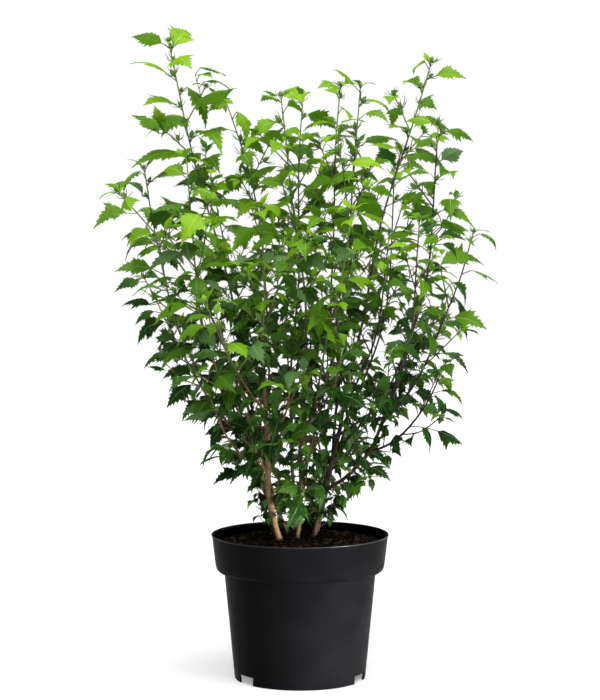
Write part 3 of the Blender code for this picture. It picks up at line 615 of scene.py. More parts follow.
def leaf_size(share, crown_age, rng):
    """Leaves are largest half way up a shoot, small at its tip, and smaller low in the crown."""
    along_shoot = SMALL_SIZE + SIZE_GAIN * math.sin(math.pi * min(1.0, share + 0.12)) ** SIZE_POWER
    return along_shoot * (1 - OLD_LEAF_SHRINK * crown_age) * rng.uniform(*LEAF_SCATTER)


def leaf_nodes(limb, first):
    """(number, mark, share of the limb) of each node from a mark on, closer together towards the tip."""
    mark, node = first, 0
    while mark < limb.length - NODELESS_TIP * INTERNODE:
        share = mark / limb.length
        yield node, mark, share
        node += 1
        mark += INTERNODE * (1 - NODE_CROWDING * share**2)


def crown_age_at(height):
    """1 for the old leaves low in the crown, 0 for the young ones at its top."""
    return min(1.0, max(0.0, (YOUNG_HEIGHT - height) / AGEING_DEPTH))


def openness_at(place):
    """1 on the crown's open right side, less low on its left flank, and below 0 on its full left shoulder."""
    right = np.interp(place[0], RIGHT_OPENS, (0.0, 1.0))
    left = np.interp(-place[0], LEFT_OPENS, (0.0, 1.0))
    return float(right + left * np.interp(place[2], SHOULDER, (0.8, -1.0)))


def fill_at(fill, place):
    """How many free places are taken: most of them low in the crown, few at its top and where it is open."""
    by_height = FILL_HIGH + FILL_LOW * crown_age_at(place[2]) ** FILL_POWER
    return min(1.0, fill * by_height * (1 - OPENING * openness_at(place)))


class Mass:
    """One foliage mass: its stem, its twigs and its leaves, which its name seeds."""

    def __init__(self, spaces, shoot, stem, first):
        self.spaces, self.shoot, self.stem, self.first = spaces, shoot, stem, first
        self.twigs, self.leaves, self.sprigs = [], [], []
        self.bare_nodes, self.tips = [], []
        self.age = crown_age_at(stem.points[:, 2].mean())
        self.phase = math.radians(shoot.turn)
        self.grow()

    def fit_leaf(self, limb, mark, angle, size, age, seed, room=FIRST_GROWTH, share=1.0, taken=None):
        """Adds the largest leaf near the wanted angle that has room, and tells whether there is one."""
        for scale in room.sizes:
            for swing in LEAF_SWINGS:
                leaf = leaf_at(limb, mark, angle + swing, size * scale, age, random.Random(seed))
                if not self.spaces.has_room(self.shoot.name, leaf.samples, room):
                    continue
                if taken and min(taken.find(point)[2] for point in leaf.samples) < room.leaf:
                    continue
                if clear_of(leaf.samples, self.leaves, room.leaf):
                    leaf.share = share
                    self.leaves.append(leaf)
                    return True
        return False

    def fit_twig(self, mark, angle, length, radius):
        """A side twig of the stem, as long as its room allows."""
        name, radii = self.shoot.name, (radius, TWIG_TIP_RADIUS)
        for scale in TWIG_SIZES:
            twig = side_limb(name, self.stem, mark, angle, length * scale, TWIG_BEND, radii)
            if self.spaces.has_room(name, twig.samples(first=2 * SAMPLE_STEP), FIRST_GROWTH):
                return twig
        return None

    def leafed(self, limb, key, crown_age, first, phase):
        """Adds leaves at every node of a limb from a mark on, a golden turn apart, and one at its tip."""
        rng = random.Random(key)
        node = -1
        for node, mark, share in leaf_nodes(limb, first):
            size = leaf_size(share, crown_age, rng)
            age = crown_age * (1 - TIP_YOUTH * share)
            angle = phase + node * LEAF_TURN
            if not self.fit_leaf(limb, mark, angle, size, age, f"{key}-{node}", share=share):
                self.bare_nodes.append((limb, mark, angle, size, age, f"{key}-{node}", share))
        tip_mark, angle = limb.length - TIP_LEAF_INSET, phase + (node + 1) * LEAF_TURN
        self.fit_leaf(limb, tip_mark, angle, TIP_LEAF_SIZE, TIP_LEAF_AGE, key)
        self.tips.append((limb, angle, key))

    def grow(self):
        """The first growth: the leaves of the stem, then its twigs and theirs."""
        name = self.shoot.name
        self.leafed(self.stem, name, self.age, self.first + INTERNODE * FIRST_NODE, self.phase)
        rng = random.Random(name + "-twigs")
        mark, node = self.first + INTERNODE * TWIG_FIRST_NODE, 0
        while mark < self.stem.length * TWIGGED:
            share = mark / self.stem.length
            length = TWIG_LENGTH * (LOW_TWIG - TWIG_LOSS * share) * rng.uniform(*TWIG_SCATTER)
            radius = min(TWIG_RADIUS, 0.8 * self.stem.radius(mark))
            angle = self.phase + TWIG_START + node * LEAF_TURN
            twig = self.fit_twig(mark, angle, length, radius)
            if twig:
                self.twigs.append(twig)
                key, around = f"{name}-twig-{node}", rng.uniform(0, 2 * math.pi)
                self.leafed(twig, key, min(1.0, self.age + TWIG_AGEING), INTERNODE * TWIG_FIRST_NODE, around)
            node += 1
            mark += TWIG_INTERVAL

    def thicken(self, taken, fill):
        """The finer growth: leaves at nodes that were left bare, and sprigs of small leaves beside others."""
        rng = random.Random(self.shoot.name + "-fine")
        for limb, mark, angle, size, age, key, share in self.bare_nodes:
            if rng.random() < fill_at(fill, limb.place(mark)):
                self.fit_leaf(limb, mark, angle, size, age, key + "-fine", FINE_GROWTH, share, taken)
        for number, limb in enumerate((self.stem, *self.twigs)):
            first = self.first if limb is self.stem else INTERNODE * SPRIG_FIRST_NODE
            for node, mark, share in leaf_nodes(limb, first):
                if rng.random() < fill_at(fill, limb.place(mark)) * SPRIG_SHARE:
                    key = f"{self.shoot.name}-sprig-{number}-{node}"
                    self.add_sprig(limb, mark, rng.uniform(0, 2 * math.pi), key, share, taken)
        limbs = grown_limbs()
        whole, parent = limbs[self.shoot.name], limbs[self.shoot.parent]
        self.clothe(whole, WOOD_START, whole.length * self.shoot.leafy, WOOD_STEP, "bare", rng, taken)
        if self.shoot.name in FOOT_GROWTH:
            self.clothe(parent, FOOT_START, self.shoot.along * parent.length, FOOT_STEP, "foot", rng, taken)

    def clothe(self, limb, start, end, step, key, rng, taken):
        """Sprigs of small leaves all along a stretch of leafless wood."""
        for node, mark in enumerate(np.arange(start, end, step)):
            name = f"{self.shoot.name}-{key}-{node}"
            self.add_sprig(limb, mark, rng.uniform(0, 2 * math.pi), name, WOOD_SHARE, taken)

    def add_sprig(self, limb, mark, angle, key, share, taken):
        """A short side twig with leaves along it and one at its tip, where they have room."""
        rng = random.Random(key)
        radius = min(TWIG_TIP_RADIUS, 0.7 * limb.radius(mark))
        length = rng.uniform(*SPRIG_LENGTH)
        sprig = side_limb(key, limb, mark, angle, length, SPRIG_BEND, (radius, radius * 0.8))
        age, count = crown_age_at(limb.place(mark)[2]) * 0.9, len(self.leaves)
        for at, size in SPRIG_LEAVES:
            leaf_angle = rng.uniform(0, 2 * math.pi)
            leaf_scale = size * rng.uniform(*SPRIG_SCATTER)
            self.fit_leaf(sprig, at * sprig.length, leaf_angle, leaf_scale, age, f"{key}-{at}", FINE_GROWTH,
                          share, taken)
        if len(self.leaves) > count:
            self.sprigs.append(sprig)


def split_shoot(shoot, limb):
    """(bough or None, the mass's stem, the mark on that stem where its leaves start) of a shoot."""
    leaves_from = limb.length * (shoot.leafy - shoot.bare)
    if shoot.bare == 0:
        return None, limb, leaves_from
    cut = limb.length * shoot.bare
    return limb.part(0, cut), limb.part(cut + CLEARANCE, limb.length), leaves_from


def share_out(limbs, parts):
    """The crown's spaces, from the leafy and the leafless stretches of every limb."""
    leafy, leafless = {}, [(stem.name, limbs[stem.name]) for stem in STEMS]
    leafless.append((SIDE_BOUGH.name, limbs[SIDE_BOUGH.name]))
    for name, (bough, stem, leaves_from) in parts.items():
        leafy[name] = stem.part(leaves_from, stem.length)
        leafless.append((name, stem.part(0, leaves_from)))
        if bough:
            leafless.append((f"bough_{name}", bough))
    return Spaces(leafy, leafless)


@functools.cache
def grown_limbs():
    """Every stem and shoot as a whole limb, by name."""
    limbs = {stem.name: stem_limb(stem) for stem in STEMS}
    for shoot in (SIDE_BOUGH, *SHOOTS):
        limbs[shoot.name] = shoot_limb(shoot, limbs[shoot.parent])
    return limbs


@functools.cache
def grown_masses(fill):
    """Every foliage mass by name, after its first and its finer growth."""
    limbs = grown_limbs()
    parts = {shoot.name: split_shoot(shoot, limbs[shoot.name]) for shoot in SHOOTS}
    spaces = share_out(limbs, parts)
    masses = {}
    for shoot in SHOOTS:
        _, stem, leaves_from = parts[shoot.name]
        masses[shoot.name] = Mass(spaces, shoot, stem, leaves_from)
    points = np.vstack([leaf.samples for mass in masses.values() for leaf in mass.leaves])
    taken = kdtree.KDTree(len(points))
    for index, point in enumerate(points):
        taken.insert(point, index)
    taken.balance()
    for mass in masses.values():
        mass.thicken(taken, fill)
    return masses


# ---- Making meshes and pieces --------------------------------------------------------------------------------
class Batch:
    """Many small solids gathered into one mesh. Each face keeps the number of its finish."""

    def __init__(self):
        self.points, self.faces, self.finishes = [], [], []
        self.count = 0

    def add(self, points, faces, finishes):
        self.points.append(np.asarray(points, float).reshape(-1, 3))
        self.faces += [tuple(index + self.count for index in face) for face in faces]
        self.finishes += [finishes] * len(faces) if isinstance(finishes, int) else list(finishes)
        self.count += len(self.points[-1])

    def piece(self, name, materials, crease, slot, nodes=()):
        """Makes the mesh, shaded smooth up to the crease angle, and lets it ride on the root body."""
        mesh = bpy.data.meshes.new(name)
        mesh.from_pydata(np.vstack(self.points).tolist(), [], self.faces)
        for material in materials:
            mesh.materials.append(material)
        mesh.polygons.foreach_set("material_index", self.finishes)
        mesh.update()
        shade(mesh, crease)
        claim(stand(name, mesh), nodes)


def shade(mesh, crease=None):
    """Shades a mesh smooth, but for edges sharper than the crease angle in degrees."""
    mesh.polygons.foreach_set("use_smooth", [True] * len(mesh.polygons))
    if crease is not None:
        mesh.set_sharp_from_angle(angle=math.radians(crease))


def stand(name, data):
    """Puts a mesh, a light or a camera into the scene."""
    thing = bpy.data.objects.new(name, data)
    bpy.context.scene.collection.objects.link(thing)
    return thing


def claim(piece, nodes=()):
    """Lets a piece ride on the root body, and hides the CAD nodes that it stands for."""
    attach(piece, "root")
    if nodes:
        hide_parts(*nodes)


def spokes_along(centres):
    """Two square spokes at each point of a line, which don't twist round it."""
    onward = np.gradient(centres, axis=0)
    onward /= np.linalg.norm(onward, axis=1)[:, None]
    spoke = unit(across(vec(0.31, 0.95, 0.07), onward[0]))
    spokes = []
    for aim in onward:
        spoke = unit(across(spoke, aim))
        spokes.append(spoke)
    spokes = np.array(spokes)
    return spokes, np.cross(onward, spokes)


def tube_points(centres, radii, sides):
    """The rings of a tube. Radii hold one number for each ring, or one for each point of each ring."""
    spokes, others = spokes_along(centres)
    angles = np.linspace(0, 2 * math.pi, sides, endpoint=False)
    ring = np.cos(angles)[None, :, None] * spokes[:, None] + np.sin(angles)[None, :, None] * others[:, None]
    radii = np.broadcast_to(np.asarray(radii, float).reshape(len(centres), -1), (len(centres), sides))
    return centres[:, None] + ring * radii[:, :, None]


def tube_faces(rings, sides):
    """The sides and both ends of a tube of rings, facing out."""
    faces = []
    for ring in range(rings - 1):
        for side in range(sides):
            low, next_low = ring * sides + side, ring * sides + (side + 1) % sides
            faces.append((low, next_low, next_low + sides, low + sides))
    faces.append(tuple(reversed(range(sides))))
    faces.append(tuple(range((rings - 1) * sides, rings * sides)))
    return faces


def add_tube(batch, centres, radii, sides, finishes):
    points = tube_points(np.asarray(centres), radii, sides)
    batch.add(points, tube_faces(len(points), sides), finishes)


# ---- Finishes ------------------------------------------------------------------------------------------------
class Finish:
    """A material whose gloss and surface vary at the size of its grain. One of the same name is made over."""

    def __init__(self, name, colour, roughness, specular=0.5):
        self.material = bpy.data.materials.get(name) or bpy.data.materials.new(name)
        self.material.use_nodes = True
        self.nodes, self.links = self.material.node_tree.nodes, self.material.node_tree.links
        for node in list(self.nodes):
            if node.name not in ("Principled BSDF", "Material Output"):
                self.nodes.remove(node)
        self.shader = self.nodes["Principled BSDF"]
        self.shader.inputs["Base Color"].default_value = (*colour, 1.0)
        self.shader.inputs["Roughness"].default_value = roughness
        self.shader.inputs["Specular IOR Level"].default_value = specular
        self.place = self.nodes.new("ShaderNodeTexCoord").outputs["Object"]

    def node(self, kind, socket, source, **values):
        """Adds a node with its other inputs set, and links a source into one socket."""
        node = self.nodes.new(f"ShaderNode{kind}")
        for name, value in values.items():
            node.inputs[name.replace("_", " ")].default_value = value
        self.links.new(source, node.inputs[socket])
        return node

    def stretched(self, along):
        """Places the grain so that it runs upwards, longer by a factor."""
        self.place = self.node("Mapping", "Vector", self.place, Scale=(1.0, 1.0, 1.0 / along)).outputs["Vector"]
        return self

    def noise(self, grain, detail=3.0):
        return self.node("TexNoise", "Vector", self.place, Scale=1.0 / grain, Detail=detail).outputs["Fac"]

    def net(self, grain):
        """A network of fine lines, as of the smallest veins or cracks."""
        texture = self.node("TexVoronoi", "Vector", self.place, Scale=1.0 / grain)
        texture.feature = "DISTANCE_TO_EDGE"
        return texture.outputs["Distance"]

    def gloss(self, source, low, high):
        """Spreads the roughness between two limits over a texture."""
        middle = {"From_Min": 0.3, "From_Max": 0.7}  # where nearly all of a noise lies
        spread = self.node("MapRange", "Value", source, **middle, To_Min=low, To_Max=high)
        self.links.new(spread.outputs["Result"], self.shader.inputs["Roughness"])
        return self

    def relief(self, source, depth, strength=1.0):
        """Adds a bump to those that the finish has already."""
        bump = self.node("Bump", "Height", source, Strength=strength, Distance=depth)
        normal = self.shader.inputs["Normal"]
        if normal.is_linked:
            self.links.new(normal.links[0].from_socket, bump.inputs["Normal"])
        self.links.new(bump.outputs["Normal"], normal)
        return self

    def colours(self, source, stops):
        """Blends colours over a texture: (position, colour) pairs."""
        ramp = self.nodes.new("ShaderNodeValToRGB")
        ramp.color_ramp.elements[0].position, ramp.color_ramp.elements[1].position = stops[0][0], stops[-1][0]
        ramp.color_ramp.elements[0].color = (*stops[0][1], 1.0)
        ramp.color_ramp.elements[1].color = (*stops[-1][1], 1.0)
        for position, colour in stops[1:-1]:
            ramp.color_ramp.elements.new(position).color = (*colour, 1.0)
        self.links.new(source, ramp.inputs["Fac"])
        self.links.new(ramp.outputs["Color"], self.shader.inputs["Base Color"])
        return self


def leaf_finish(name, colour, roughness):
    """Leaf skin: a soft shine broken by a net of fine veins."""
    finish = Finish(name, colour, roughness, specular=0.17)
    finish.gloss(finish.noise(0.006), roughness - 0.07, roughness + 0.10)
    finish.relief(finish.net(0.0028), 0.00016, 0.35).relief(finish.noise(0.005), 0.0005, 0.30)
    return finish.material


def stalk_finish(name, colour, roughness=0.5):
    """Green or reddish young wood, finely lined along."""
    finish = Finish(name, colour, roughness).stretched(4.0)
    finish.gloss(finish.noise(0.002), roughness - 0.08, roughness + 0.10)
    finish.relief(finish.noise(0.0009), 0.0002, 0.5)
    return finish.material


def bark_finish(name, colour):
    """Thin bark, furrowed along and speckled."""
    finish = Finish(name, colour, 0.8, specular=0.3).stretched(3.0)
    grain = finish.noise(0.0016, detail=5.0)
    dark, pale = [part * 0.62 for part in colour], [min(1.0, part * 1.35) for part in colour]
    finish.colours(grain, [(0.30, dark), (0.52, colour), (0.72, pale)])
    finish.gloss(grain, 0.68, 0.92)
    finish.relief(grain, 0.0008, 0.7).relief(finish.net(0.0030), 0.0006, 0.4)
    return finish.material


# ---- Pot and soil --------------------------------------------------------------------------------------------
def softened(corners, steps=5):
    """A profile of (radius, height) points whose (radius, height, rounding) corners are rounded off."""
    points = []
    for index, (radius, height, rounding) in enumerate(corners):
        here = vec(radius, height)
        before = vec(*corners[index - 1][:2]) - here
        after = vec(*corners[(index + 1) % len(corners)][:2]) - here
        if rounding <= 0:
            points.append(tuple(here))
            continue
        start = here + unit(before) * min(rounding, 0.49 * np.linalg.norm(before))
        end = here + unit(after) * min(rounding, 0.49 * np.linalg.norm(after))
        for share in np.linspace(0, 1, steps):
            points.append(tuple(bent(start, here, end, share)))
    return points


def turned_mesh(name, profile, sides, shift=None):
    """A solid turned round Z from a closed profile. Shift moves each point by (radius, angle, height)."""
    points, faces, count = [], [], len(profile)
    for turn in range(sides):
        angle = 2 * math.pi * turn / sides
        for radius, height in profile:
            lift = shift(radius, angle, height) if shift else 0.0
            points.append((radius * math.cos(angle), radius * math.sin(angle), height + lift))
    for turn in range(sides):
        here, there = turn * count, (turn + 1) % sides * count
        for index in range(count):
            after = (index + 1) % count
            faces.append((here + index, there + index, there + after, here + after))
    return closed_mesh(name, points, faces)


def closed_mesh(name, points, faces):
    """A mesh of closed solids, welded where their points meet, with no loose edge and facing out."""
    mesh = bpy.data.meshes.new(name)
    mesh.from_pydata(points, [], faces)
    edit = bmesh.new()
    edit.from_mesh(mesh)
    bmesh.ops.remove_doubles(edit, verts=edit.verts, dist=1e-6)
    bmesh.ops.dissolve_degenerate(edit, edges=edit.edges, dist=1e-7)
    loose = [edge for edge in edit.edges if not edge.link_faces]
    bmesh.ops.delete(edit, geom=loose, context="EDGES")
    bmesh.ops.recalc_face_normals(edit, faces=edit.faces)
    edit.to_mesh(mesh)
    edit.free()
    return mesh


def body_radius(height):
    """The pot's outer radius below its collar."""
    return FOOT_RADIUS + (BODY_TOP_RADIUS - FOOT_RADIUS) * height / COLLAR_STEP


def pot_profile():
    """The moulded wall: foot ring, straight body, rounded collar and a fine lip, then back down inside."""
    collar_top = RIM_RADIUS - LIP_DEPTH
    floor = FOOT_HEIGHT + WALL
    return softened([
        (FOOT_RADIUS, 0.0, 0.0006),
        (body_radius(FOOT_HEIGHT), FOOT_HEIGHT, 0.0),
        (body_radius(COLLAR_STEP), COLLAR_STEP, 0.0010),
        (COLLAR_BOTTOM_RADIUS - 0.0003, COLLAR_STEP, 0.0085),
        (collar_top, POT_HEIGHT - LIP_HEIGHT, 0.0005),
        (RIM_RADIUS, LIP_EDGE, 0.0004),
        (RIM_RADIUS, POT_HEIGHT, 0.0007),
        (RIM_RADIUS - WALL, POT_HEIGHT, 0.0010),
        (collar_top - WALL, POT_HEIGHT - WALL, 0.0010),
        (COLLAR_BOTTOM_RADIUS - WALL, COLLAR_STEP + COLLAR_ROUNDING, 0.0030),
        (COLLAR_BOTTOM_RADIUS - COLLAR_ROUNDING * 0.3 - WALL, COLLAR_STEP + WALL, 0.0010),
        (body_radius(COLLAR_STEP) - WALL, COLLAR_STEP + WALL, 0.0010),
        (body_radius(FOOT_HEIGHT) - WALL, floor, 0.0020),
        (0.0, floor, 0.0),
        (0.0, FOOT_HEIGHT, 0.0),
        (body_radius(FOOT_HEIGHT) - WALL, FOOT_HEIGHT, 0.0008),
        (FOOT_RADIUS - WALL, 0.0, 0.0006),
    ])


def cut_notches(pot):
    """Cuts the drain notches through the foot ring, with sloping sides."""
    cutters = bpy.data.collections.new("notch cutters")
    near, far = FOOT_RADIUS * 0.85, FOOT_RADIUS * 1.1  # well inside and outside the foot ring
    low, high = -0.004, FOOT_HEIGHT - 0.0004
    spread = {low: NOTCH_ANGLE / 2 * NOTCH_SLOPE, high: NOTCH_ANGLE / 2}
    for notch in range(FOOT_COUNT):
        angle = FIRST_NOTCH + notch * 2 * math.pi / FOOT_COUNT
        points = []
        for height in (low, high):
            for side, reach in ((-1, near), (1, near), (1, far), (-1, far)):
                turn = angle + side * spread[height]
                points.append((reach * math.cos(turn), reach * math.sin(turn), height))
        faces = [(0, 1, 2, 3), (7, 6, 5, 4)]
        faces += [(i, i + 4, (i + 1) % 4 + 4, (i + 1) % 4) for i in range(4)]
        cutter = closed_mesh("notch cutter", points, faces)
        cutters.objects.link(bpy.data.objects.new("notch cutter", cutter))
    cut = pot.modifiers.new("notches", "BOOLEAN")
    cut.operation, cut.operand_type = "DIFFERENCE", "COLLECTION"
    cut.collection, cut.solver = cutters, "MANIFOLD"
    graph = bpy.context.evaluated_depsgraph_get()
    pot.data = bpy.data.meshes.new_from_object(pot.evaluated_get(graph))
    pot.modifiers.clear()
    for cutter in list(cutters.objects):
        bpy.data.objects.remove(cutter)
    bpy.data.collections.remove(cutters)


def pot_finish(name, colour, roughness, specular):
    """Black moulded plastic: a satin skin, faint flow lines round it and a trace of dust."""
    finish = Finish(name, colour, roughness, specular)
    dust = [part * 1.3 + 0.0010 for part in colour]
    finish.colours(finish.noise(0.045, detail=6.0), [(0.40, colour), (0.75, dust)])
    finish.gloss(finish.noise(0.012, detail=5.0), roughness - 0.05, roughness + 0.07)
    finish.relief(finish.noise(0.0007), 0.00012, 0.35)
    finish.stretched(0.05).relief(finish.noise(0.10), 0.0006, 0.15)
    return finish.material


def soil_finish(name, colour, crumb):
    """Moist peat: dark, rough at every size, with redder crumbs."""
    finish = Finish(name, colour, 0.92, specular=0.25)
    finish.colours(finish.noise(0.006, detail=6.0), [(0.35, colour), (0.55, colour), (0.72, crumb)])
    finish.relief(finish.noise(0.0022, detail=6.0), 0.0020, 0.9)
    finish.relief(finish.noise(0.009, detail=4.0), 0.0030, 0.6)
    return finish.material


def soil_height(radius):
    """The soil's surface: a flat crown round the stems that falls to the wall."""
    share = min(1.0, max(0.0, (radius - SOIL_CROWN_RADIUS) / (SOIL_EDGE_RADIUS - SOIL_CROWN_RADIUS)))
    return SOIL_TOP - SOIL_FALL * share**SOIL_FALL_POWER


def soil_lumps(radius, angle, height):
    """How far a lump lifts the soil's surface at a point. The sides and the bottom are smooth."""
    if height < soil_height(radius) - 1e-6:
        return 0.0
    place = Vector((radius * math.cos(angle), radius * math.sin(angle), 0.0))
    return sum(noise.noise(place / width) * lift for width, lift in SOIL_LUMPS) - SOIL_SETTLED


def crumb_solid(rng, size):
    """One crumb of peat: a lumpy pebble of (points, faces)."""
    ball = bmesh.new()
    bmesh.ops.create_icosphere(ball, subdivisions=1, radius=1.0)
    shift = Vector((rng.uniform(0, 50), rng.uniform(0, 50), rng.uniform(0, 50)))
    stretch = np.array([rng.uniform(*limits) for limits in CRUMB_STRETCH])
    turn = rng.uniform(0, 2 * math.pi)
    points = []
    for vertex in ball.verts:
        bulge = 1 + CRUMB_LUMPS * noise.noise(vertex.co * 1.3 + shift)
        x, y, z = np.array(vertex.co) * stretch * bulge * size
        points.append((x * math.cos(turn) - y * math.sin(turn), x * math.sin(turn) + y * math.cos(turn), z))
    faces = [tuple(vertex.index for vertex in face.verts) for face in ball.faces]
    ball.free()
    return np.array(points), faces


# ---- Wood ----------------------------------------------------------------------------------------------------
WOODS = ("tan", "brown", "plum", "olive", "green", "wine", "tip")
WOOD_LADDERS = {
    "tan": ("tan", "olive", "green", "tip"),
    "brown": ("brown", "olive", "green", "tip"),
    "plum": ("plum", "wine", "wine", "tip"),
}
WOOD_STEPS = (0.41, 0.50, 0.70)  # heights where one wood passes into the next
WOOD_BLEND = 0.05
STEM_SIDES = 20
BOUGH_SIDES = 16
SHOOT_SIDES = 9
TWIG_SIDES = 6
STEM_RING = 0.0026
SHOOT_RING = 0.0055
JOINT_SWELL = 0.30
JOINT_LENGTH = 0.007
FOOT_SUNK = 0.005
SLIM_HEIGHTS = (0.19, 0.24, 0.32, 0.42)
SLIM_SHARES = (0.64, 0.70, 0.74, 0.66)
TWIG_SLIMNESS = 0.8
FURROW_WIDTH = 0.011
FURROWS_ROUND = 1.6
FINE_FURROWS, FINE_FURROW_DEPTH = 2.7, 0.7  # against the large ones
WARTS, WART_LIMIT, WART_HEIGHT = 5.1, 0.34, 1.6
SCAR_START = 0.022
SCAR_LENGTH = 0.0026
SCAR_WIDTH = 0.7  # in radians
SCAR_RING, SCAR_BUMP = 0.05, 0.20
SPECK_SIZE = 0.004
TIP_WOOD = 0.93  # from this share of a limb on its wood is a tip's


def bark_kind(name):
    """The kind of bark at the root of a limb."""
    for stem in STEMS:
        if stem.name == name:
            return stem.bark
    parent = next(shoot.parent for shoot in (SIDE_BOUGH, *SHOOTS) if shoot.name == name)
    return bark_kind(parent)


def wood_tones(kind, centres, sides, shares):
    """The finish of each face of a tube: bark low down, then greener wood, blended by specks."""
    ladder, tones = WOOD_LADDERS[kind], []
    for centre, share in zip(centres[:-1], shares):
        for side in range(sides):
            speck = noise.noise(Vector(centre) / SPECK_SIZE + Vector((side * 0.9, 0.0, 0.0)))
            height = centre[2] + WOOD_BLEND * speck
            step = 3 if share > TIP_WOOD else sum(height > limit for limit in WOOD_STEPS)
            tones.append(WOODS.index(ladder[step]))
    return tones + [tones[0], tones[-1]]


def bark_relief(centres, marks, sides, seed, depth):
    """How much each point of a barked tube stands out: furrows, warts and the scars of old leaves."""
    relief = np.ones((len(marks), sides))
    for ring, mark in enumerate(marks):
        for side in range(sides):
            angle = 2 * math.pi * side / sides
            x, y = math.cos(angle) * FURROWS_ROUND, math.sin(angle) * FURROWS_ROUND
            around = Vector((x + seed, y, mark / FURROW_WIDTH))
            furrow = noise.noise(around) + FINE_FURROW_DEPTH * noise.noise(around * FINE_FURROWS)
            wart = max(0.0, noise.noise(around * WARTS) - WART_LIMIT)
            relief[ring, side] += depth * (furrow + WART_HEIGHT * wart)
    for node, scar in enumerate(np.arange(SCAR_START, marks[-1], INTERNODE)):
        near = np.exp(-(((marks - scar) / SCAR_LENGTH) ** 2))
        turn = np.linspace(0, 2 * math.pi, sides, endpoint=False) - node * LEAF_TURN
        facing = np.exp(-((np.angle(np.exp(1j * turn)) / SCAR_WIDTH) ** 2))
        relief += near[:, None] * (SCAR_RING + SCAR_BUMP * facing[None])
    return relief


def slimness(centres):
    """Above the foot the wood is drawn slimmer than its solid."""
    return np.interp(centres[:, 2], SLIM_HEIGHTS, SLIM_SHARES)


def add_limb(batch, name, start, end, sides, spacing, bark=0.0, joint=True):
    """One limb's wood from mark to mark, with its bark and, where it leaves its parent, a swollen joint."""
    limb = grown_limbs()[name]
    count = max(4, round((end - start) / spacing) + 1)
    marks = np.linspace(start, end, count)
    centres = limb.smooth(marks)
    radii = np.interp(marks, limb.marks, limb.radii) * slimness(centres)
    if joint:
        radii *= 1 + JOINT_SWELL * np.exp(-((marks / JOINT_LENGTH) ** 2))
    relief = bark_relief(centres, marks, sides, len(name), bark) if bark else np.ones((count, 1))
    tones = wood_tones(bark_kind(name), centres, sides, marks / limb.length)
    add_tube(batch, centres, radii[:, None] * relief, sides, tones)


def add_twig(batch, twig, kind):
    """A twig's wood: green at its foot and paler from half way on."""
    count = max(4, round(twig.length / SHOOT_RING) + 1)
    marks = np.linspace(0, twig.length, count)
    centres = twig.smooth(marks)
    radii = np.interp(marks, twig.marks, twig.radii) * TWIG_SLIMNESS
    radii *= 1 + JOINT_SWELL * np.exp(-((marks / (JOINT_LENGTH * 0.6)) ** 2))
    shares = 0.5 + 0.5 * marks / twig.length
    add_tube(batch, centres, radii, TWIG_SIDES, wood_tones(kind, centres, TWIG_SIDES, shares))


# ---- Leaves --------------------------------------------------------------------------------------------------
# Half outlines of a blade from its base to its tip, for a blade whose length is 1: (along, out).
EDGE_WHOLE = (
    (0.0, 0.0), (0.03, 0.030), (0.08, 0.085), (0.13, 0.140), (0.18, 0.190), (0.265, 0.268), (0.270, 0.205),
    (0.385, 0.315), (0.378, 0.235), (0.505, 0.300), (0.492, 0.208), (0.615, 0.236), (0.600, 0.152),
    (0.720, 0.166), (0.705, 0.098), (0.815, 0.102), (0.802, 0.056), (0.895, 0.052), (0.885, 0.028),
    (0.945, 0.018), (1.0, 0.0),
)
EDGE_LOBED = (
    (0.0, 0.0), (0.03, 0.026), (0.08, 0.078), (0.13, 0.132), (0.19, 0.198), (0.275, 0.295), (0.285, 0.232),
    (0.405, 0.385), (0.405, 0.305), (0.555, 0.415), (0.500, 0.285), (0.505, 0.222), (0.530, 0.170),
    (0.655, 0.222), (0.640, 0.150), (0.760, 0.162), (0.745, 0.096), (0.850, 0.094), (0.840, 0.050),
    (0.930, 0.028), (1.0, 0.0),
)
LAST = len(EDGE_WHOLE) - 1
FIRST_VEIN = 5  # from here every other edge point is a tooth, with a vein that runs to it
UPPER_ROWS = (0.0, 0.035, 0.5, 1.0)  # shares of the way from the rib to the edge
LOWER_ROWS = (0.0, 0.5, 1.0)
LEAF_TONES = ("lime", "spring", "green", "deep", "dark", "shade", "dusk")
YOUNG_UNDER_BACKLIT, OLD_UNDER, YOUNG_VEIN, OLD_VEIN = range(len(LEAF_TONES), len(LEAF_TONES) + 4)
BLADE_COVER = 0.135  # a blade closer to another than this share of its length, point by point, is left out
LOBING_SCATTER, OLD_LOBING, FULL_LOBING_SIZE = 0.3, 0.25, 0.7
EDGE_SCATTER = (0.004, 0.045)  # of a tooth's place along, and of its reach
VEIN_LEAN = 0.42  # how far a vein runs forward, against how far it runs out
OLD_SPREAD = 0.22  # how much broader an old blade is
FOLD_SCATTER, TWIST_SCATTER, BEND_SCATTER, HANG_SCATTER = 0.22, 0.28, 0.05, 0.28
RIPPLE = (0.004, 0.016)
RIPPLES = 17  # how closely they follow along the blade, in radians to its length
CUPPING = (0.1, 0.9)
DROP, OLD_MORE_DROP, DROP_SCATTER = 0.04, 0.16, (-0.06, 0.14)  # of a blade's tip below its base
CURL = (0.05, 0.15)
QUILT, SUNK_VEIN = 0.011, 0.004  # how far the skin swells between the veins, and lies in along them
RIB_THICKNESS = 1.7  # against the blade beside it
OLD_BLADE_SHRINK, OPEN_BLADE_SHRINK = 0.40, 0.15
HEIGHT_SHADE, INNER_SHADE, SHADE_SCATTER = 0.74, 0.32, 0.16  # what makes a leaf dark: partly the older leaves' own deeper green, partly painted shade low and inside the crown
SPRAY_SHADES = (-0.10, 0.10)
SMALL_LEAF, SMALL_LEAF_PALER = 0.5, 0.16
TONE_LIMITS = (0.04, 0.24, 0.44, 0.62, 0.78)
# A few mid-depth leaves get the grey-green sheen tone: a painted sheen of reflected light in their base colour.
SHEEN_RANGE, SHEEN_SHARE = (0.3, 0.8), 0.10
RED_ON_PLUM, RED_ELSEWHERE = 0.85, 0.55  # the share of leaf stalks that are red
STALK_RADIUS = 0.00085
STALK_WIDTHS = (1.25, 0.85, 0.75, 0.80, 0.55)
